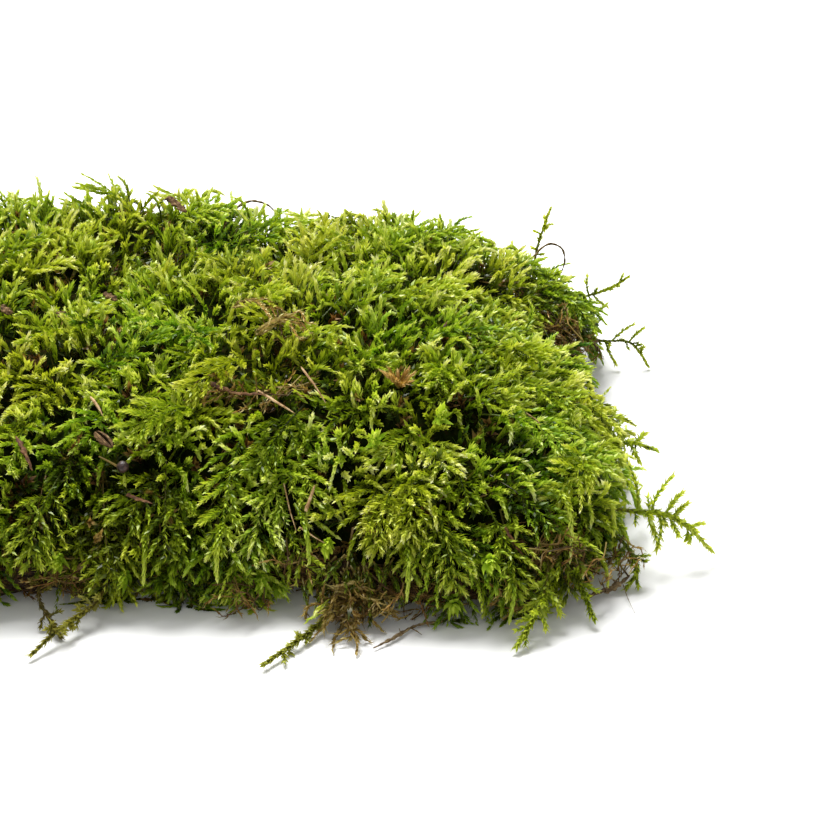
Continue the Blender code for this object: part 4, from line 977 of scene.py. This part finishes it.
def makeThatch():
    turns, rings = thatch["turns"], thatch["rings"]
    angle = np.linspace(-np.pi, np.pi, turns, endpoint=False)
    share = np.linspace(0.002, 1, rings) ** 0.8
    reach = rimRadius(angle) - thatch["inset"]
    b, a = np.meshgrid(share, angle, indexing="ij")
    xy = np.stack([b * reach * np.cos(a), b * reach * np.sin(a)], -1).reshape(-1, 2)
    height = topHeight(xy).reshape(b.shape) - thatch["under"]
    z = thatch["low"] + (height - thatch["low"]) * (1 - b ** 9) ** 0.6
    points = np.concatenate([xy, z.reshape(-1, 1)], 1)
    points[:, 2] += thatch["rough"] * waviness(points, 7, 9) * (b.ravel() < 0.999)
    uv = np.stack([0.5 + b * np.cos(a) / 2.05, 0.5 + b * np.sin(a) / 2.05], -1).reshape(-1, 2)
    makePiece("mossThatch", (points, gridFaces(rings, turns), uv), darkThatch, ["moss_mat"])


makeThatch()

# the litter: a ragged slab of duff, r = R(a) - inset + rough w(a, z), with dead stems lying in its side

litter = {
    "thick": 9.0, "inset": 8.0, "shownInset": 3.6, "rough": 1.0,
    "turns": 320, "levels": 9,
    "stems": 640, "half": (2.5, 6.0), "height": (0.6, 9.4),
    "tints": (0.03, 0.08, 0.12, 0.17, 0.21, 0.26, 0.3), "shares": (0.16, 0.2, 0.2, 0.16, 0.12, 0.1, 0.06),
    "leaf": dict(leaves=9, length=1.9, width=0.7, spread=48, closing=0.2, taper=0.2, curl=0.3, tipTint=0.04,
                 form="kite"),
}


def litterInset(angle):  # less where the litter shows
    return litter["inset"] + (litter["shownInset"] - litter["inset"]) * litterShows(angle)


def makeLitter():  # its top and underside close to a ring of 0.02 of the radius
    turns, levels = litter["turns"], litter["levels"]
    angle = np.linspace(-np.pi, np.pi, turns, endpoint=False)
    height = np.concatenate([[0, 0], np.linspace(0, litter["thick"], levels), [litter["thick"]] * 2])
    shrink = np.concatenate([[0.02, 0.6], np.ones(levels), [0.6, 0.02]])[:, None]
    z, a = np.meshgrid(height, angle, indexing="ij")
    reach = rimRadius(angle) - litterInset(angle)
    wall = np.stack([reach * np.cos(a), reach * np.sin(a), z * 1.0], -1).reshape(-1, 3)
    ragged = waviness(wall, 6, 31) + 0.6 * waviness(wall, 2.5, 32)
    reach = (reach + litter["rough"] * ragged.reshape(z.shape) - 0.8 * (z < 0.01)) * shrink
    points = np.stack([reach * np.cos(a), reach * np.sin(a), z], -1).reshape(-1, 3)
    uv = np.stack([0.5 + shrink * np.cos(a) / 2.05, 0.5 + shrink * np.sin(a) / 2.05], -1).reshape(-1, 2)
    corners = gridFaces(len(height), turns)[:, ::-1]
    makePiece("litterSlab", (points, corners, uv), leafMould, ["litter_layer"], smooth=False)


def layLitterStems():  # stems run round the edge, outward and down by random shares, more of them where it shows
    count = litter["stems"]
    angle = rng.uniform(-np.pi, np.pi, count * 2)
    angle = angle[rng.uniform(0, 1, count * 2) < 0.32 + 0.6 * litterShows(angle)][:count]
    count = len(angle)
    inset = litterInset(angle) + rng.uniform(-0.8, 1.4, count)
    middle = rimPlace(angle, inset, rng.uniform(*litter["height"], count))
    out = unit(middle * (1, 1, 0))
    way = edgeWay(out, (0.2, 0.4), (-0.15, 0.45))
    half = rng.uniform(*litter["half"], (count, 1))
    stems = np.stack([middle - half * way, middle + out * rng.uniform(-0.4, 1.6, half.shape), middle + half * way], 1)
    tint = rng.choice(litter["tints"], count, p=litter["shares"])
    makeGrown("litterStems", growShoots(stems, out, tint, litter["leaf"], 0.35, (0, 0.28, 0.12, 4)),
              "litter_layer", smooth=False)


makeLitter()
layLitterStems()

# tangles: thin dead stems, bent and crossing, where the mat's edge or a hollow in its top has lost its leaves

tangles = {
    "spots": (  # x, y, z in mm, spread in mm, number of stems
        (97, -81, 15, 4.5, 22), (104, -77, 8, 5.0, 18), (113, -70, 7, 4.0, 12), (88, -85, 6, 5.0, 12),
        (42, -80, 12, 4.0, 16), (28, -83, 5, 5.0, 14), (-10, -81, 8, 5.5, 16), (-44, -77, 7, 5.0, 12),
        (72, -84, 5, 6.0, 16), (104, 25, 22, 6.0, 34), (111, 34, 12, 6.0, 22), (-84, 40, 30, 5.0, 14),
        (27, -49, 37.5, 5.0, 12), (38, -50, 39.5, 4.5, 9), (35, -21, 41.5, 4.5, 8), (19, -47, 37, 3.5, 5),
        (-100, 40, 10, 6.0, 14), (-30, 74, 22, 5.0, 14), (-6, 82, 8, 6.0, 14), (-112, -6, 12, 6.0, 14)),
    "leaf": dict(leaves=9, length=1.8, width=0.5, spread=46, closing=0.2, taper=0.2, flat=0, start=0.15,
                 curl=0.4, tipTint=0.2),
}


# A tangle's stems start round its middle, run any way but more along the edge and down, and bend twice.
def growTangles():
    spots = np.array(tangles["spots"], float)
    spots = spots[:, :4].repeat(spots[:, 4].astype(int), 0)
    count = len(spots)
    middle = spots[:, :3] + rng.normal(0, 0.5, (count, 3)) * spots[:, 3:] * (1, 0.6, 0.6)
    out = unit(middle * (1, 1, 0))
    middle = middle + rng.uniform(0, 1.6, (count, 1)) * out
    way = edgeWay(out, (0.25, 0.35), (-0.3, 0.5)) * rng.uniform(2.5, 6.5, (count, 1))
    bent = rng.normal(0, 1.2, (2, count, 3))
    curves = np.stack([middle - way, middle - 0.3 * way + bent[0], middle + 0.4 * way + bent[1], middle + way], 1)
    tint, hue = rng.uniform(0.15, 0.72, count), rng.uniform(0.0, 0.35, count)
    makeGrown("deadTangles", growShoots(curves, out, tint, tangles["leaf"], hue, (0, 0.2, 0.1, 9, 4)),
              "litter_layer", deadMossLeaf)


growTangles()

# swept forms: straws, strips, flakes, twigs

# A cross-section as (across, over) points: an arc of radius 1/sin(h) through angles -h to h, so that it is one unit
# to each side, and back at thick less of radius.
def arcSection(half, thick, count=6):
    h = math.radians(half)
    a = np.linspace(-h, h, count)
    r = 1 / math.sin(h)
    outer, inner = (np.stack([away * np.sin(a), away * np.cos(a) - r * math.cos(h)], -1) for away in (r, r - thick))
    return np.concatenate([outer, inner[::-1]])


def roundSection(count=8):
    a = np.arange(count) / count * 2 * np.pi
    return np.stack([np.sin(a), np.cos(a)], -1)


# The section, scaled by the half width at t and turned by twist t, is carried along the line; both ends are closed.
# band is the part of the map's height that it takes.
def sweep(line, up, section, halfWidth, twist=0.0, rows=20, rough=0.0, band=(0, 1), seed=0):
    line = np.array([line], float)
    t = np.linspace(0, 1, rows)
    place, ahead = along(line, t[None])
    side = unit(np.cross(ahead[0], up))
    over = np.cross(side, ahead[0])
    turn = (twist * t)[:, None]
    side, over = np.cos(turn) * side + np.sin(turn) * over, np.cos(turn) * over - np.sin(turn) * side
    ring = section[:, :1] * side[:, None] + section[:, 1:] * over[:, None]
    wide = np.interp(t, np.linspace(0, 1, len(halfWidth)), halfWidth)[:, None, None]
    points = place[0][:, None] + ring * wide
    points = points + rough * wide * ring * waviness(points.reshape(-1, 3), 1.6, 50 + seed).reshape(rows, -1, 1)
    count = len(section)
    cap = np.stack([np.full(count - 2, 0), np.arange(1, count - 1), np.arange(2, count)], -1)
    corners = np.concatenate([gridFaces(rows, count), cap, cap[:, ::-1] + (rows - 1) * count])
    u = np.broadcast_to(0.01 + 0.98 * t[:, None], (rows, count))
    v = band[0] + (band[1] - band[0]) * (0.01 + 0.98 * np.arange(count) / (count - 1))
    return points.reshape(-1, 3), corners, np.stack([u, np.broadcast_to(v, (rows, count))], -1).reshape(-1, 2)


# half: degrees of the arc to each side; thick: its wall, in half widths; width: half a width in mm; lift: mm that
# the thing lies above its solid's middle
straws = {
    "outline": (0.14, 0.8, 1.0, 0.95, 0.75, 0.4, 0.06), "rows": 22, "lift": 0.9,
    "straw": dict(half=62, thick=0.3, width=0.42, wavy=0.1),
    "strip": dict(half=40, thick=0.12, width=0.68, wavy=0.5),
}


# A straw is a half pipe that tapers to both ends; a strip of dead leaf is flatter, with a twist and a wavy edge.
def layBlades():
    for node in sorted(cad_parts):
        if node.startswith(("grass_", "leaf_strip")):
            line, up = lineOf(node)
            leafy = node.startswith("leaf")
            form = straws["strip" if leafy else "straw"]
            width = form["width"] * np.array(straws["outline"]) * rng.uniform(0.85, 1.1, 7)
            twist = rng.uniform(0.5, 1.2) * rng.choice([-1, 1])
            parts = sweep(line + straws["lift"] * up, up, arcSection(form["half"], form["thick"]), width, twist,
                          straws["rows"], form["wavy"], seed=len(node))
            material, slot = (deadLeaf, "dead_leaf") if leafy else (dryGrass, "dry_grass")
            makePiece(camel(node), parts, material, [node])


layBlades()

flakes = {
    "outline": (0.1, 0.7, 1.0, 0.86, 0.92, 0.6, 0.12), "half": 50, "thick": 0.14, "lift": 0.9, "width": 1.2,
    "huskOutline": (0.12, 0.3, 0.7, 1.0, 0.95, 0.6, 0.1), "huskWidth": 1.3, "huskFlat": 0.62, "huskLift": 0.6,
    "ribs": 9, "ribDepth": 0.1, "split": 0.35, "wall": 0.8,
}


# A flake is a shallow dish that is widest at a third of its length. The husk is a flattened spindle with ribs,
# r = 1 + 0.1 cos(9 a), open along one side.
def layFlakes():
    for node in sorted(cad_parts):
        if node.startswith("bark_"):
            line, up = lineOf(node, 3)
            outline = np.array(flakes["outline"]) * rng.uniform(0.8, 1.12, 7)
            parts = sweep(line + flakes["lift"] * up, up, arcSection(flakes["half"], flakes["thick"], 11),
                          flakes["width"] * outline, rng.uniform(-0.5, 0.5), 26, 0.5, seed=len(node))
            makePiece(camel(node), parts, barkFlake, [node])
    line, up = lineOf("husk", 3)
    line = line.mean(0) + 1.14 * (line - line.mean(0))
    a = np.linspace(flakes["split"], 2 * np.pi - flakes["split"], 34)
    ribs = 1 + flakes["ribDepth"] * np.cos(flakes["ribs"] * a)
    outer = np.stack([np.sin(a), np.cos(a) * flakes["huskFlat"]], -1) * ribs[:, None]
    section = np.concatenate([outer, outer[::-1] * flakes["wall"]])
    parts = sweep(line + flakes["huskLift"] * up, up, section, flakes["huskWidth"] * np.array(flakes["huskOutline"]),
                  0.2, 30, 0.12, seed=3)
    makePiece("splitHusk", parts, barkFlake, ["husk"])


layFlakes()

balls = {
    "tilt": (0.4, -0.5, 0.8),
    "stalk": ((-0.8, 0.2, -0.3), (-3.2, 0.6, 1.2), (-5.4, 1.2, 2.0)),  # mm from the seed's middle
    "scale": dict(leaves=24, spread=46, closing=0.7, taper=0.25, flat=0, start=0.0, curl=0.7),
    "scaleLength": 1.7, "scaleWidth": 1.25,  # in the bud's radii
    "buds": {"bud_red": (0.2, 0.8), "bud_tan": (0.4, 0.3)},  # tint and hue
}


def ballOf(node):  # a round solid's middle and radius
    points = facesOf(node).reshape(-1, 3)
    return (points.max(0) + points.min(0)) / 2, np.ptp(points, 0).min() / 2


def laySeed():  # a ball of the solid's own size, r = R sqrt(1 - (2t - 1)^2), a little wrinkled, on a thin stalk
    middle, radius = ballOf("seed")
    tilt = unit(np.array(balls["tilt"]))
    low, high = middle - radius * tilt, middle + radius * tilt
    t = np.linspace(0, 1, 25)
    radii = np.sqrt(np.maximum(1 - (2 * t - 1) ** 2, 0.0006)) * radius
    line = [low, low + (high - low) / 3, high - (high - low) / 3, high]
    makePiece("roundSeed", sweep(line, (1, 0, 0), roundSection(28), radii, 0, 25, 0.05), seedCoat, ["seed"])
    stalk = (middle + balls["stalk"])[None]
    makePiece("seedStalk", growStems(stalk, (0.1, 0.2, 1), 0.24, 0.3, 0.16, 8, 6), mossLeaf, ["seed"])


def layBuds():  # overlapping dry scales on a short stem
    tilt = unit(np.array(balls["tilt"]))
    for node, (tint, hue) in balls["buds"].items():
        middle, radius = ballOf(node)
        curve = np.stack([middle - 1.1 * radius * tilt, middle, middle + 0.9 * radius * tilt])[None]
        scale = dict(balls["scale"], length=balls["scaleLength"] * radius, width=balls["scaleWidth"] * radius)
        parts = growShoots(curve, (1, 0, 0), tint, scale, hue, (0, 0.4 * radius, 0.1))
        makeGrown(camel(node), parts, node, deadMossLeaf, smooth=False)


laySeed()
layBuds()

# twigs: the same paths and thicknesses as their solids, in mm, with their side twigs

twigs = {
    "twig_front": dict(
        path=((58.8, -98.8, 0.7), (63.2, -95.0, 0.9), (68, -90, 0.8), (74, -88.4, 1.1)),
        radii=(0.14, 0.34, 0.5, 0.3, 0.34, 0.26),
        branches=(((67, -90.8, 0.8), (69.4, -93.4, 0.6), 0.2), ((64.6, -93.9, 1), (64.4, -91.6, 1.2), 0.2))),
    "wood_bit": dict(
        path=((105.8, -79.6, 1.3), (108.6, -78.2, 1.9), (111.6, -76, 1.4), (114.6, -74.8, 2.3),
              (117.4, -71, 2.4)),
        radii=(0.16, 0.62, 0.3, 0.66, 0.34, 0.84, 0.5, 0.92, 0.3, 0.42, 0.12),
        branches=(((115.4, -73.6, 2.2), (117.4, -84.4, 0.5), 0.12),
                  ((114.4, -74.2, 2.2), (110.4, -76.6, 6.4), 0.24),
                  ((112, -76, 2.2), (106.4, -82.4, 2.6), 0.2), ((117, -71.4, 2.4), (112.5, -68.5, 7.5), 0.22),
                  ((113, -75.4, 2.4), (119.6, -66, 4.4), 0.18))),
    "wiry_loop": dict(
        path=((100, 55, 29), (104.6, 56, 33), (108.6, 56.4, 32), (109.8, 56.4, 28), (108.8, 56, 24.4)),
        radii=(0.3, 0.3, 0.28, 0.25, 0.18),
        branches=()),
    "arched_twig": dict(
        path=((13, 77, 28), (15, 81.6, 33.6), (19.6, 84, 35.4), (24, 85, 34), (27, 85.4, 31)),
        radii=(0.38, 0.4, 0.36, 0.3, 0.2),
        branches=()),
}


# A twig is a wavy rod through its path; a side twig runs from start to end, bent a little, and thins to 0.35.
def layTwigs():
    for node, spec in twigs.items():
        up = np.array((0.1, 1.0, 0.2)) if node in ("wiry_loop", "arched_twig") else np.array((0.1, 0.2, 1.0))
        bands = len(spec["branches"]) + 1
        parts = [sweep(spec["path"], up, roundSection(10), spec["radii"], 0.6, 40, 0.35, (0, 1 / bands), len(node))]
        for k, (start, end, thick) in enumerate(spec["branches"]):
            start, end = np.array(start), np.array(end)
            bend = (start + end) / 2 + rng.normal(0, 0.25, 3) * np.linalg.norm(end - start) / 6
            parts.append(sweep((start, (start + bend) / 2, bend, end), up + 0.3, roundSection(7),
                               (thick, 0.8 * thick, 0.35 * thick), 0.4, 14, 0.3,
                               ((k + 1) / bands, (k + 2) / bands), k))
        makeGrown(camel(node), parts, node, twigBark)


layTwigs()

# the tuft of dead stems at the front, from one root: ends with their thickness, small dead leaves along each

deadTuft = {
    "root": ((55, -76, 5.2), (54.6, -85.6, 5.0)),
    "ends": (
        (45.4, -95.6, 1.1, 0.18), (50, -99, 1.0, 0.2), (55.2, -100.6, 1.0, 0.17), (60.6, -91.8, 0.9, 0.16),
        (63.4, -89.4, 3.4, 0.16), (57.2, -95.6, 0.8, 0.16), (49.2, -92, 6.6, 0.18), (59, -90.6, 7.0, 0.18),
        (52, -95, 2.4, 0.16), (47, -90, 3.0, 0.16), (57.6, -88, 9.0, 0.16), (51, -87, 9.5, 0.16),
        (51.6, -97, 1.6, 0.15), (55, -97, 3.0, 0.15), (48, -96, 3.6, 0.15), (61, -88, 6, 0.15),
        (43.6, -91, 5, 0.15)),
    "leaf": dict(leaves=46, length=2.3, width=0.72, spread=52, closing=0.5, flat=0.2, curl=0.8, keel=0.45,
                 tipTint=0.2),
    "strays": 52,
    "strayLeaf": dict(leaves=14, length=1.9, width=0.5, spread=46, closing=0.2, taper=0.2, flat=0, curl=0.45),
    "olive": 34,
    "oliveLeaf": dict(leaves=26, length=2.0, width=0.6, spread=40, closing=0.35, taper=0.4, start=0.08,
                      tipTint=0.16),
    "pale": (  # foot, bend and tip in mm, tint and hue
        ((50, -86, 6), (48, -89, 7), (46.4, -92, 6), 0.78, 0.2),
        ((51, -86, 4), (48, -90, 5), (44.6, -93, 4.4), 0.7, 0.7),
        ((53, -86, 8), (54, -90, 9), (53.6, -93, 7.4), 0.2, 0.1),
        ((57, -85, 5), (58.4, -88.6, 5), (58, -92, 3.2), 0.24, 0.3)),
    "paleLeaf": dict(leaves=7, length=3.4, width=1.1, spread=34, flat=0.3, start=0.4, curl=0.5, keel=0.6,
                     tipTint=0.15),
}


# Each stem runs from the root by the knee, through three places strayed from the straight way, to its end. Strays
# lie round the knee any way, and old olive shoots hang over it from the mat.
def layDeadTuft():
    start, knee = np.array(deadTuft["root"])
    curves, radii = [], []
    for *end, thick in deadTuft["ends"]:
        end = np.array(end)
        bends = [(1 - f) * knee + f * end + (0, 0, 0.8) + rng.normal(0, 1, 3) * (1.5, 1.0, 0.8)
                 for f in (0.3, 0.55, 0.8)]
        curves.append(np.stack([start, knee + rng.normal(0, 1, 3) * (1.2, 0.8, 0.6), *bends, end]))
        radii.append(thick)
    strays = deadTuft["strays"]
    middle = knee + rng.normal(0, 1, (strays, 3)) * (4.6, 2.6, 2.2) + (0, -0.3, 0.4)
    way = unit(rng.normal(0, 1, (strays, 3)) * (1, 0.8, 0.6)) * rng.uniform(1.6, 4.6, (strays, 1))
    loose = np.stack([middle - way, middle + rng.normal(0, 1.2, (strays, 3)), middle + way], 1)
    bands = len(curves)
    parts = [sweep(curve, (0.2, 0.3, 1), roundSection(6), (radius, 0.8 * radius, 0.35 * radius), 0.5, 24, 0.3,
                   (k / bands, (k + 1) / bands), k) for k, (curve, radius) in enumerate(zip(curves, radii))]
    makeGrown("deadTuftStems", parts, "dead_tuft_front", deadStem)
    tint, hue = rng.uniform(0.3, 0.66, bands), rng.uniform(0.0, 0.22, bands)
    looseTint, looseHue = rng.uniform(0.15, 0.75, strays), rng.uniform(0.0, 0.4, strays)
    up = (0.1, 0.2, 1.0)
    parts = growShoots(np.array(curves), up, tint, deadTuft["leaf"], hue, (0, 0.2, 0.1, 10, 4))
    parts += growShoots(loose, up, looseTint, deadTuft["strayLeaf"], looseHue, (0, 0.2, 0.1, 5, 4))
    makeGrown("deadTuftLeaves", parts, "dead_tuft_front", deadMossLeaf, smooth=False)
    count = deadTuft["olive"]
    foot = knee + rng.normal(0, 1, (count, 3)) * (6.0, 1.0, 1.8) + (0, 3.0, 5.5)
    drop = rng.uniform(4, 9, (count, 1)) * unit(rng.normal(0, 1, (count, 3)) * (0.45, 0.2, 0.15) + (0, -0.75, -0.8))
    hanging = np.stack([foot, foot + 0.5 * drop + (0, -1.2, 1.6), foot + drop], 1)
    over = (0.1, -0.5, 1.0)
    tint, hue = rng.uniform(0.24, 0.46, count), rng.uniform(0, 0.4, count)
    parts = [growLeaves(hanging, over, tint, deadTuft["oliveLeaf"], hue),
             growStems(hanging, over, 0.25, 0.26, 0.1, 5, 4)]
    makeGrown("oldShoots", parts, "dead_tuft_front")
    pale = np.array([spot[:3] for spot in deadTuft["pale"]], float)
    tint, hue = np.array([spot[3:] for spot in deadTuft["pale"]]).T
    parts = growShoots(pale, up, tint, deadTuft["paleLeaf"], hue, (0, 0.2, 0.1, 6, 4))
    makeGrown("curledLeaves", parts, "dead_tuft_front")


layDeadTuft()

# dead moss on the top: two curled fronds and a dry orange tuft

deadTops = {
    "strands": 4, "apart": 3.4, "arch": (0.5, 2.4),  # mm
    "strand": dict(leaves=56, length=1.9, width=0.6, spread=44, taper=0.5, flat=0.3, start=0.04, curl=0.3,
                   tipTint=0.2),
    "rays": 11, "rayLength": (3.4, 5.0),  # mm
    "tuft": dict(leaves=24, length=2.3, width=0.5, spread=34, closing=0.5, taper=0.4, tipTint=0.4),
}


def layDeadFronds():  # strands that part from their solid's line toward its end and arch over it by sin(pi t)
    count = deadTops["strands"]
    for node in ("dead_frond_rear", "dead_frond_front"):
        line, up = lineOf(node, 5)
        share = np.linspace(0, 1, len(line))[None, :, None]
        side = unit(np.cross(line[-1] - line[0], up))
        apart = rng.normal(0, 1, (count, 1, 1)) * side + rng.uniform(-0.1, 0.5, (count, 1, 1)) * up
        arch = rng.uniform(*deadTops["arch"], (count, 1, 1)) * np.sin(np.pi * share) * up
        curves = line + 0.6 * up + deadTops["apart"] * apart * share + arch + rng.normal(0, 0.5, (count, len(line), 3))
        tint, hue = rng.uniform(0.5, 0.85, count), rng.uniform(0.0, 0.1, count)
        parts = growShoots(curves, up, tint, deadTops["strand"], hue, (-0.1, 0.32, 0.1, 12, 4))
        makeGrown(camel(node), parts, node, deadMossLeaf, smooth=False)


def layDryTuft():  # rays from one root, spread evenly round and raised by random angles
    middle = facesOf("dry_tuft").reshape(-1, 3).mean(0)
    count = deadTops["rays"]
    angle = np.arange(count) / count * 2 * np.pi + rng.normal(0, 0.2, count)
    ray = unit(np.stack([np.cos(angle), np.sin(angle), rng.uniform(0.25, 1.3, count)], -1))
    root = np.tile(middle - (0, 0, 1.5), (count, 1))
    tip = root + rng.uniform(*deadTops["rayLength"], (count, 1)) * ray + (0, 0, 0.8)
    curves = np.stack([root, root + 1.8 * ray + (0, 0, 0.9), tip], 1)
    tint = rng.uniform(0.42, 0.74, count)
    parts = growShoots(curves, (0.01, 0.01, 1.01), tint, deadTops["tuft"], 0.55, (-0.1, 0.3, 0.1, 4, 4))
    makeGrown("dryTuft", parts, "dry_tuft", deadMossLeaf, smooth=False)


layDeadFronds()
layDryTuft()

# floor, light and camera

studio = {
    "floor": "#e8e8e7", "floorHalf": 3, "world": 0.62,
    "lampPower": 20.4, "lampWidth": 0.6, "lampPlace": (-0.14, 0.38, 0.85), "lampTilt": (-24, -9),
    "cameraPlace": (0.069, -0.4659, 0.2438), "cameraTilt": 63, "lens": 85.71,
}


def setStudio():
    world = bpy.data.worlds.new("studio")
    world.use_nodes = True
    world.node_tree.nodes["Background"].inputs["Color"].default_value = (1, 1, 1, 1)
    world.node_tree.nodes["Background"].inputs["Strength"].default_value = studio["world"]
    bpy.context.scene.world = world
    bpy.context.scene.view_settings.view_transform = "Standard"
    half = studio["floorHalf"]
    mesh = bpy.data.meshes.new("floor")
    mesh.from_pydata([(-half, -half, 0), (half, -half, 0), (half, half, 0), (-half, half, 0)], [], [(0, 1, 2, 3)])
    material, tree = newMaterial("paperSweep")
    matt = addNode(tree, "ShaderNodeBsdfPrincipled", {"Base Color": toLinear(studio["floor"]), "Roughness": 0.9})
    addNode(tree, "ShaderNodeOutputMaterial", {"Surface": matt.outputs[0]})
    mesh.materials.append(material)
    floor = bpy.data.objects.new("floor", mesh)
    bpy.context.collection.objects.link(floor)
    lamp = bpy.data.lights.new("softTop", "AREA")
    lamp.shape = "DISK"
    lamp.size = studio["lampWidth"]
    lamp.energy = studio["lampPower"]
    light = bpy.data.objects.new("softTop", lamp)
    light.location = studio["lampPlace"]
    light.rotation_euler = (*(math.radians(angle) for angle in studio["lampTilt"]), 0)
    bpy.context.collection.objects.link(light)
    camera = bpy.data.objects.new("camera", bpy.data.cameras.new("camera"))
    camera.location = studio["cameraPlace"]
    camera.rotation_euler = (math.radians(studio["cameraTilt"]), 0, 0)
    camera.data.lens = studio["lens"]
    camera.data.clip_start = 0.01
    bpy.context.collection.objects.link(camera)
    bpy.context.scene.camera = camera


setStudio()
